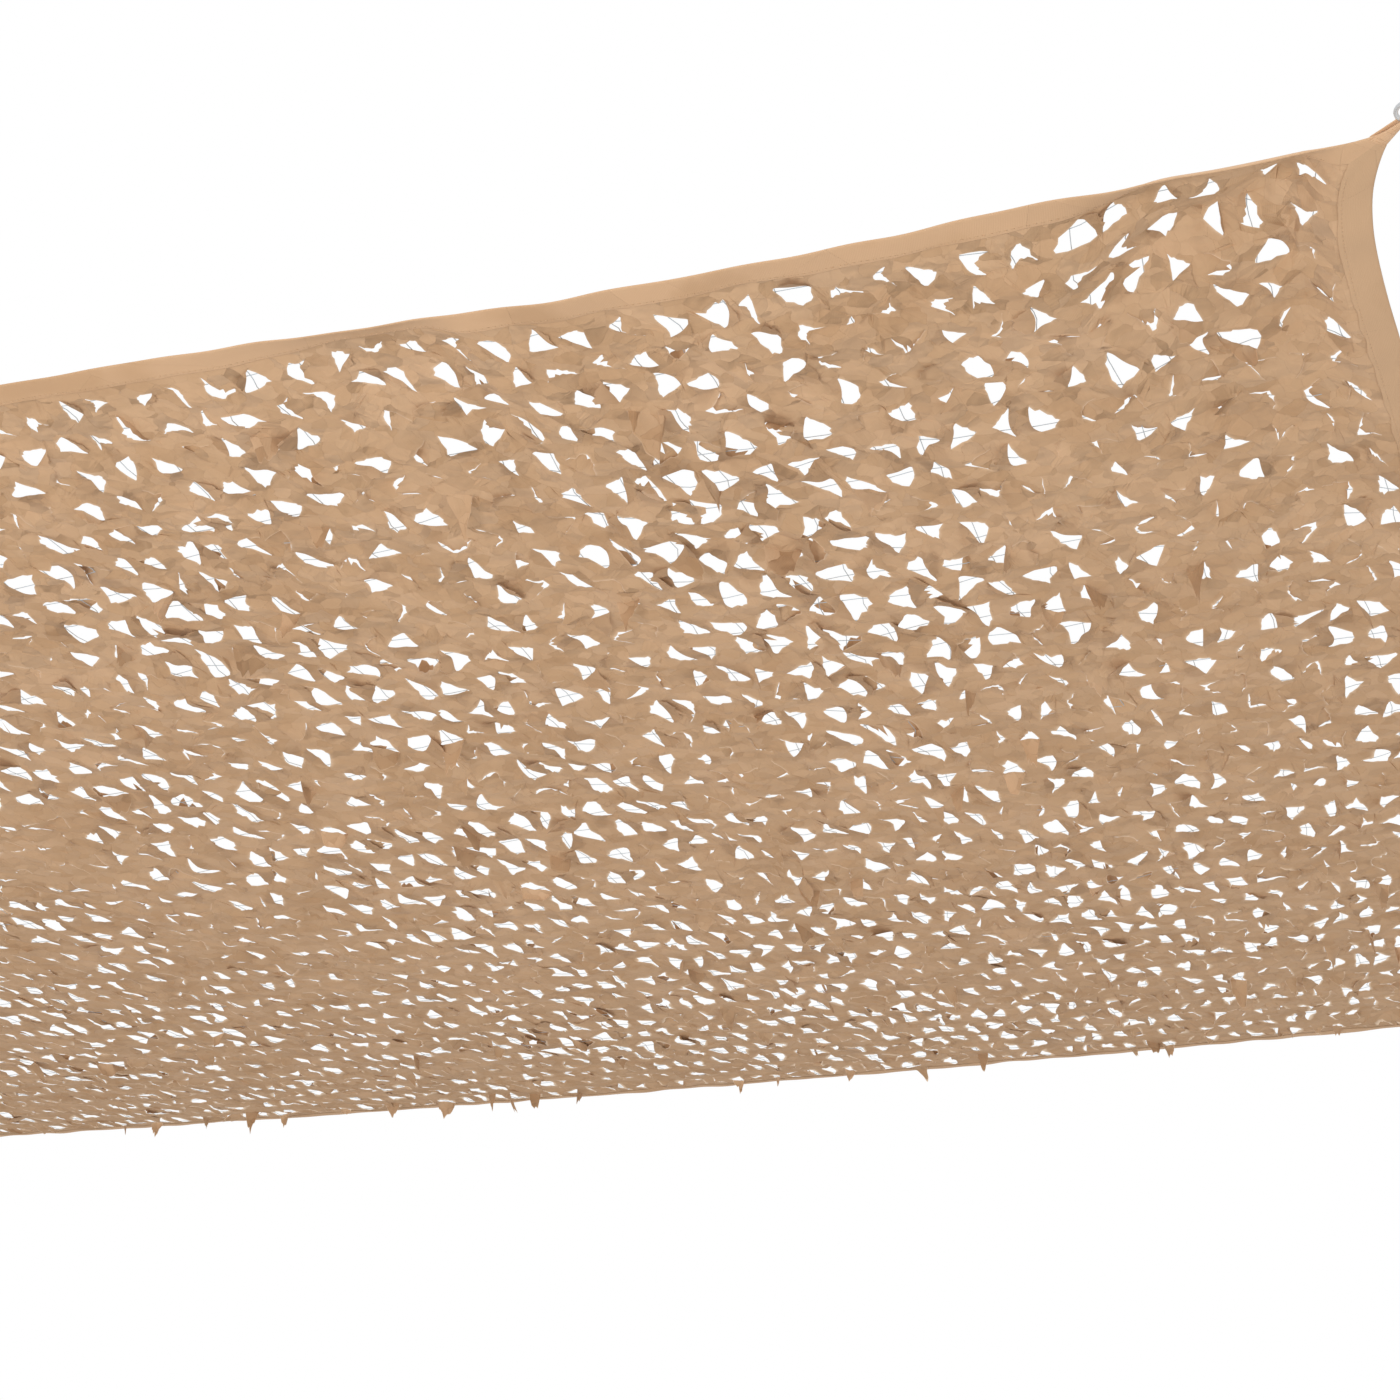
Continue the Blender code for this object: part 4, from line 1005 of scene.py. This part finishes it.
def cloth_material(name, tones, pitch, crease, facet_shade_share, see_through):
    """Thin plain-woven polyester, dyed in the piece: matt, soft light comes through it, so
    that doubled cloth looks darker. Uneven dye, flat facets with sharp creases between
    them, a painted shade of each facet and leaf as if it caught the light at its own
    tilt, a painted highlight along the cut edges and a fine weave break up its even tone.
    Towards the far side the facets lie flatter, the painted highlights on the edges are
    wider and less light comes through."""
    material, tree = new_material(name)
    flat = add(tree, "ShaderNodeUVMap", uv_map="flat cloth").outputs["UV"]
    solid = add(tree, "ShaderNodeTexCoord").outputs["Object"]
    bent = add(tree, "ShaderNodeTexNoise",
               {"Scale": crease * BEND_COUNT, "Detail": 2.0, "Vector": solid})
    bent = add(tree, "ShaderNodeVectorMath",
               {0: bent.outputs["Color"], 1: (BEND_SHARE, BEND_SHARE, BEND_SHARE), 2: solid},
               operation="MULTIPLY_ADD").outputs[0]
    facet, relief = facets(tree, bent, crease)
    wide = blotches(tree, solid, tones[:3], CLOTH_PATCHES, low=0.36, high=0.64)
    # Painted shade: each facet and leaf between the dark and the rosy tone, as if it caught the
    # light at its own tilt
    leaf = add(tree, "ShaderNodeAttribute", attribute_name="leaf shade").outputs["Fac"]
    both = add(tree, "ShaderNodeMix", {0: 0.5, 2: facet, 3: leaf}).outputs[0]
    painted_shade = add(tree, "ShaderNodeMix", {0: both, 6: colour(tones[0]), 7: colour(tones[2])},
              data_type="RGBA").outputs[2]
    mixed = add(tree, "ShaderNodeMix", {0: facet_shade_share, 6: wide, 7: painted_shade},
                data_type="RGBA").outputs[2]
    depth = add(tree, "ShaderNodeSeparateXYZ", {0: solid}).outputs["Y"]
    labels = ("Value", "From Min", "From Max", "To Min", "To Max")
    ranges = ((-HALF_WIDTH, HALF_WIDTH, CUT_NEAR, CUT_FAR), (-HALF_WIDTH, HALF_WIDTH, *CUT_PALE),
              (-HALF_WIDTH, RELIEF_END, RELIEF_NEAR, RELIEF_FAR),
              (THROUGH_START, HALF_WIDTH, see_through, see_through * FAR_THROUGH))
    sharp, highlight, steep, share = (
        add(tree, "ShaderNodeMapRange", dict(zip(labels, (depth, *row)))).outputs[0]
        for row in ranges)
    # A painted highlight along the cut edges: narrow near, wider and stronger far
    cut = add(tree, "ShaderNodeAttribute", attribute_name="cut edge").outputs["Fac"]
    for factor, operation in ((sharp, "POWER"), (highlight, "MULTIPLY")):
        cut = add(tree, "ShaderNodeMath", {0: cut, 1: factor}, operation=operation).outputs[0]
    mixed = add(tree, "ShaderNodeMix", {0: cut, 6: mixed, 7: colour(tones[3])},
                data_type="RGBA").outputs[2]
    normal = add(tree, "ShaderNodeBump", {"Strength": 1.0, "Height": relief, "Distance": steep})
    normal = add(tree, "ShaderNodeBump",
                 {"Strength": 0.25, "Distance": 0.0004, "Height": plain_weave(tree, flat, pitch),
                  "Normal": normal.outputs["Normal"]}).outputs["Normal"]
    shader = add(tree, "ShaderNodeBsdfPrincipled",
                 {"Base Color": mixed, "Normal": normal, "Roughness": 0.78,
                  "Sheen Weight": 0.03, "Specular IOR Level": 0.25})
    through = add(tree, "ShaderNodeBsdfTranslucent", {"Color": mixed, "Normal": normal})
    mix = add(tree, "ShaderNodeMixShader",
              {0: share, 1: shader.outputs[0], 2: through.outputs[0]})
    add(tree, "ShaderNodeOutputMaterial", {"Surface": mix.outputs[0]})
    return material


def fibre_material(name, *tones):
    """Spun or twisted polyester: matt, with a little sheen and a fine rough grain, and an
    uneven dye along it where it has two tones."""
    material, tree = new_material(name)
    solid = add(tree, "ShaderNodeTexCoord").outputs["Object"]
    if len(tones) > 1:
        tone = blotches(tree, solid, tones, FIBRE_PATCHES, low=0.35, high=0.65)
    else:
        tone = colour(tones[0])
    grain = add(tree, "ShaderNodeTexNoise",
                {"Scale": FIBRE_PATCHES * 4, "Detail": 2.0, "Vector": solid})
    finish_surface(tree, grain.outputs["Fac"],
                   {"Base Color": tone, "Roughness": FIBRE_ROUGHNESS, "Sheen Weight": 0.1},
                   strength=0.3, distance=0.0003)
    return material


def webbing_material():
    """Narrow polyester webbing, woven with ribs across it: the ribs catch the light, and are
    painted in stripes of shade.
    """
    material, tree = new_material("ribbed polyester webbing")
    flat = add(tree, "ShaderNodeUVMap", uv_map="flat cloth").outputs["UV"]
    solid = add(tree, "ShaderNodeTexCoord").outputs["Object"]
    rib = add(tree, "ShaderNodeTexWave", {"Scale": METRE_WAVE / RIB_PITCH, "Vector": flat},
              wave_type="BANDS", bands_direction="X").outputs["Fac"]
    tone = blotches(tree, solid, (WEBBING_DARK, WEBBING_TONE), WEBBING_PATCHES, low=0.3, high=0.7)
    # Painted shade: darker stripes along the ribs
    rib_shaded = add(tree, "ShaderNodeMix", {0: rib, 6: tone, 7: colour(WEBBING_DARK)},
                 data_type="RGBA").outputs[2]
    finish_surface(tree, rib, {"Base Color": rib_shaded, "Roughness": 0.7, "Sheen Weight": 0.1},
                   strength=0.35, distance=0.0003)
    return material


def steel_material():
    """Stainless steel wire, drawn, welded and tumbled: bright, with fine dull scratches."""
    material, tree = new_material("tumbled stainless steel wire")
    solid = add(tree, "ShaderNodeTexCoord").outputs["Object"]
    grain = add(tree, "ShaderNodeTexNoise",
                {"Scale": STEEL_GRAIN, "Detail": 3.0, "Vector": solid}).outputs["Fac"]
    dull = add(tree, "ShaderNodeMapRange", {"Value": grain, "To Min": 0.18, "To Max": 0.36})
    finish_surface(tree, grain, {"Base Color": colour(STEEL_TONE), "Metallic": 1.0,
                                 "Roughness": dull.outputs["Result"]},
                   strength=0.12, distance=0.0001)
    return material


def new_node_tool(name, inputs):
    """A geometry tree with lines and the named inputs, what its group input gives, and the
    lines as curves; its output is not linked yet."""
    tree = bpy.data.node_groups.new(name, "GeometryNodeTree")
    tree.interface.new_socket("Lines", in_out="INPUT", socket_type="NodeSocketGeometry")
    for label, kind in inputs:
        tree.interface.new_socket(label, in_out="INPUT", socket_type=kind)
    tree.interface.new_socket("Result", in_out="OUTPUT", socket_type="NodeSocketGeometry")
    given = add(tree, "NodeGroupInput").outputs
    curve = add(tree, "GeometryNodeMeshToCurve", {"Mesh": given["Lines"]})
    return tree, given, curve.outputs[0]


def finish_node_tool(tree, given, shape):
    """Ends a tree: instances made real, the material set and the result smooth."""
    real = add(tree, "GeometryNodeRealizeInstances", {"Geometry": shape})
    painted = add(tree, "GeometryNodeSetMaterial",
                  {"Geometry": real.outputs[0], "Material": given["Material"]})
    smooth = add(tree, "GeometryNodeSetShadeSmooth", {"Geometry": painted.outputs[0]})
    add(tree, "NodeGroupOutput", {0: smooth.outputs[0]})
    return tree


def cord_tool():
    """Every line becomes a thin round cord."""
    inputs = (("Cord radius", "NodeSocketFloat"), ("Sides", "NodeSocketInt"),
              ("Material", "NodeSocketMaterial"))
    tree, given, curve = new_node_tool("thin cord", inputs)
    ring = add(tree, "GeometryNodeCurvePrimitiveCircle",
               {"Resolution": given["Sides"], "Radius": given["Cord radius"]})
    tube = add(tree, "GeometryNodeCurveToMesh",
               {"Fill Caps": True, "Curve": curve, "Profile Curve": ring.outputs[0]})
    return finish_node_tool(tree, given, tube.outputs[0])


def stitch_tool():
    """Short thread lozenges at an even pitch along every line."""
    inputs = (("Pitch", "NodeSocketFloat"), ("Stitch length", "NodeSocketFloat"),
              ("Thread radius", "NodeSocketFloat"), ("Material", "NodeSocketMaterial"))
    tree, given, curve = new_node_tool("sewn stitches", inputs)
    places = add(tree, "GeometryNodeCurveToPoints", {"Curve": curve, "Length": given["Pitch"]},
                 mode="LENGTH")
    thread = add(tree, "GeometryNodeMeshUVSphere",
                 {"Segments": STITCH_SIDES, "Rings": STITCH_ROWS,
                  "Radius": given["Thread radius"]})
    ratio = add(tree, "ShaderNodeMath", {0: given["Stitch length"], 1: given["Thread radius"]},
                operation="DIVIDE")
    half = add(tree, "ShaderNodeMath", {0: ratio.outputs[0], 1: 0.5}, operation="MULTIPLY")
    stretch = add(tree, "ShaderNodeCombineXYZ", {"X": 1.0, "Y": 1.0, "Z": half.outputs[0]})
    stitches = add(tree, "GeometryNodeInstanceOnPoints",
                   {"Points": places.outputs["Points"], "Instance": thread.outputs["Mesh"],
                    "Rotation": places.outputs["Rotation"], "Scale": stretch.outputs[0]})
    return finish_node_tool(tree, given, stitches.outputs[0])


def apply_tool(name, lines, tree, values):
    """A plain mesh piece: the tree's result on polylines, with the named inputs set."""
    points, edges = [], []
    for line in lines:
        start = len(points)
        points += [tuple(point) for point in line]
        edges += [(i, i + 1) for i in range(start, len(points) - 1)]
    guide_mesh = bpy.data.meshes.new(name + "_lines")
    guide_mesh.from_pydata(points, edges, [])
    guide = place_object(name + "_lines", guide_mesh)
    modifier = guide.modifiers.new("shape", "NODES")
    modifier.node_group = tree
    for item in tree.interface.items_tree:
        if item.in_out == "INPUT" and item.name in values:
            modifier[item.identifier] = values[item.name]
    shown = guide.evaluated_get(bpy.context.evaluated_depsgraph_get())
    mesh = bpy.data.meshes.new_from_object(shown)
    mesh.name = name
    bpy.data.objects.remove(guide, do_unlink=True)
    return place_object(name, mesh)


def cord_stations(reach):
    """Places along a cord, closer together near its ends, where the cloth turns most."""
    calm_reach = reach - CORD_BUSY
    middle = np.linspace(-calm_reach, calm_reach, int(2 * calm_reach / CORD_STEP) + 1)
    end = np.linspace(calm_reach, reach, int(CORD_BUSY / CORD_FINE) + 1)[1:]
    return np.concatenate([-end[::-1], middle, end])


def cord_lines():
    """The backing net's cords: parallel to the sides, on top of the crumpled cloth."""
    lines = []
    reach_a, reach_b = HALF_LENGTH - BAND_WIDTH * CORD_STOP, HALF_WIDTH - BAND_WIDTH * CORD_STOP
    for reach, other, swap in ((reach_a, reach_b, False), (reach_b, reach_a, True)):
        count = int(2 * (other - CORD_PITCH / 2) / CORD_PITCH)
        along = cord_stations(reach)
        for step in range(count + 1):
            off = np.full_like(along, (step - count / 2) * CORD_PITCH)
            a, b = (off, along) if swap else (along, off)
            a, b = shifted(a, b)
            lines.append(stand_off(a, b, crumple(a, b) + CORD_LEAST + CORD_RISE * calm(a, b)))
    return lines


def stitch_lines(face):
    """The sewing line along every binding, on its upper (1) or lower (-1) face."""
    lines = []
    for edge in EDGES:
        length = edge_length(edge)
        stations = np.linspace(STITCH_START, length - STITCH_START, int(length / BAND_STATION))
        a, b = edge_point(edge, stations, np.full_like(stations, BAND_WIDTH - STITCH_INSET))
        height = face * (BAND_HALF * STITCH_BED + STITCH_RADIUS * STITCH_STAND)
        lines.append(stand_off(a, b, np.full_like(stations, height)))
    return lines


def tab_stitch_lines(frames):
    """Two bars of stitches across each lap of every tab, on both of its faces."""
    lines = []
    for tip, outward, across, normal in frames:
        for face in (-1, 1):
            for back in TAB_BARS:
                height = face * (tab_rise(-back) + TAB_THICK / 2 + STITCH_RADIUS * BAR_STAND)
                middle = tip - outward * back + normal * height
                half = across * (tab_half(-back) - BAR_INSET)
                lines.append([middle - half, middle, middle + half])
    return lines


def place_camera():
    """The photo's view: from below the near right corner, looking up and to the left."""
    data = bpy.data.cameras.new("camera")
    data.lens, data.sensor_width = LENS, SENSOR
    camera = place_object("camera", data)
    camera.location = Vector(CAMERA_PLACE) + Vector(HUNG_PLACE)
    level = math.cos(CAMERA_PITCH)
    look = Vector((math.sin(CAMERA_YAW) * level, math.cos(CAMERA_YAW) * level,
                   math.sin(CAMERA_PITCH)))
    camera.rotation_euler = look.to_track_quat("-Z", "Y").to_euler()
    bpy.context.scene.camera = camera


def light_scene():
    """Even white light from all round, a large soft light above and a small one low in
    front."""
    world = bpy.data.worlds.new("soft sky")
    world.use_nodes = True
    tree = world.node_tree
    tree.nodes.clear()
    seen = add(tree, "ShaderNodeLightPath").outputs["Is Camera Ray"]
    strength = add(tree, "ShaderNodeMapRange",
                   {"Value": seen, "To Min": SKY_STRENGTH, "To Max": SHOWN_STRENGTH})
    background = add(tree, "ShaderNodeBackground",
                     {"Color": colour(SKY_TONE), "Strength": strength.outputs["Result"]})
    add(tree, "ShaderNodeOutputWorld", {"Surface": background.outputs[0]})
    bpy.context.scene.world = world
    bpy.context.scene.view_settings.view_transform = "Standard"
    for name, place, size, power in LIGHTS:
        data = bpy.data.lights.new(name, "AREA")
        data.energy, data.size = power, size
        light = place_object(name, data)
        light.location = place
        light.rotation_euler = (-Vector(place)).to_track_quat("-Z", "Y").to_euler()


def make_floor():
    """A plain floor of matt white paint, well below the sail."""
    half = FLOOR_SIZE / 2
    corners = [(x * half, y * half, FLOOR_LEVEL) for x, y in ((-1, -1), (1, -1), (1, 1), (-1, 1))]
    material, tree = new_material("matt white paint")
    shader = add(tree, "ShaderNodeBsdfPrincipled",
                 {"Base Color": colour(FLOOR_TONE), "Roughness": 0.9})
    add(tree, "ShaderNodeOutputMaterial", {"Surface": shader.outputs[0]})
    floor = make_mesh("floor", corners, [[0, 1, 2, 3]], material)


HUNG_PLACE = np.zeros(3)
corner_sides = {"near_left": (-1, -1), "near_right": (1, -1), "far_left": (-1, 1),
                "far_right": (1, 1)}
low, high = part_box("corner_ring_near_right")
tip, outward = corner_frame(*corner_sides["near_right"])[:2]
HUNG_PLACE = np.array((low + high) / 2) - (tip + outward * RING_OFFSET)

place_camera()
light_scene()
make_floor()

cloth_tones = (CLOTH_DARK, CLOTH_TONE, CLOTH_ROSE, CUT_HIGHLIGHT_TONE)
tape_tones = (BAND_DARK, BAND_TONE, BAND_TONE, BAND_TONE)
# The side tapes: the same tape as the long ones, painted darker as it looks in shade
shaded_side_tones = (SHADED_SIDE_DARK, SHADED_SIDE_TONE, SHADED_SIDE_TONE, SHADED_SIDE_TONE)
tape_finish = (TAPE_WEAVE, TAPE_FACETS, TAPE_FACET_SHADE, TAPE_THROUGH)
cloth = cloth_material("dyed plain-woven polyester", cloth_tones, CLOTH_WEAVE, CLOTH_FACETS,
                       CLOTH_FACET_SHADE, CLOTH_THROUGH)
tape = cloth_material("polyester binding tape", tape_tones, *tape_finish)
shaded_side_tape = cloth_material("polyester side tape", shaded_side_tones, *tape_finish)
webbing = webbing_material()
steel = steel_material()
thread = fibre_material("spun polyester thread", THREAD_TONE, BAND_DARK)
cord = fibre_material("twisted polyester cord", CORD_TONE)

cells = cell_layout()
settle_tongues(cells)
lattice = fine_lattice(grid_knots())
for half_j, depth_word in ((False, "near"), (True, "far")):
    for half_i, side_word in ((False, "left"), (True, "right")):
        quarter = make_quarter("leaf_cut_cloth_" + depth_word + "_" + side_word, cells, lattice,
                               half_i, half_j, cloth)
        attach(quarter, "root")
        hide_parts("leaf_cut_cloth")

net = apply_tool("backing_net", cord_lines(), cord_tool(),
                 {"Cord radius": CORD_RADIUS, "Sides": CORD_SIDES, "Material": cord})
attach(net, "root")

for edge in EDGES:
    # Long tapes in their own tone, side tapes in a painted shade of it
    band = make_band(edge, tape if edge in ("near", "far") else shaded_side_tape)
    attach(band, "root")
    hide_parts("binding_" + edge)

corner_frames = {corner: corner_frame(*sides) for corner, sides in corner_sides.items()}
for corner, axes in corner_frames.items():
    tab = make_tab("webbing_tab_" + corner, axes, webbing)
    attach(tab, "root")
    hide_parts("corner_tab_" + corner)
    ring = make_ring("welded_ring_" + corner, axes, steel)
    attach(ring, "root")
    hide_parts("corner_ring_" + corner)

stitch_values = {"Pitch": STITCH_PITCH, "Stitch length": STITCH_LENGTH,
                 "Thread radius": STITCH_RADIUS, "Material": thread}
bar_values = {**stitch_values, "Pitch": BAR_PITCH, "Stitch length": BAR_STITCH}
stitches = stitch_tool()
seams = (("stitches_upper", stitch_lines(1), stitch_values),
         ("stitches_lower", stitch_lines(-1), stitch_values),
         ("tab_stitches", tab_stitch_lines(corner_frames.values()), bar_values))
for name, lines, values in seams:
    sewing = apply_tool(name, lines, stitches, values)
    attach(sewing, "root")
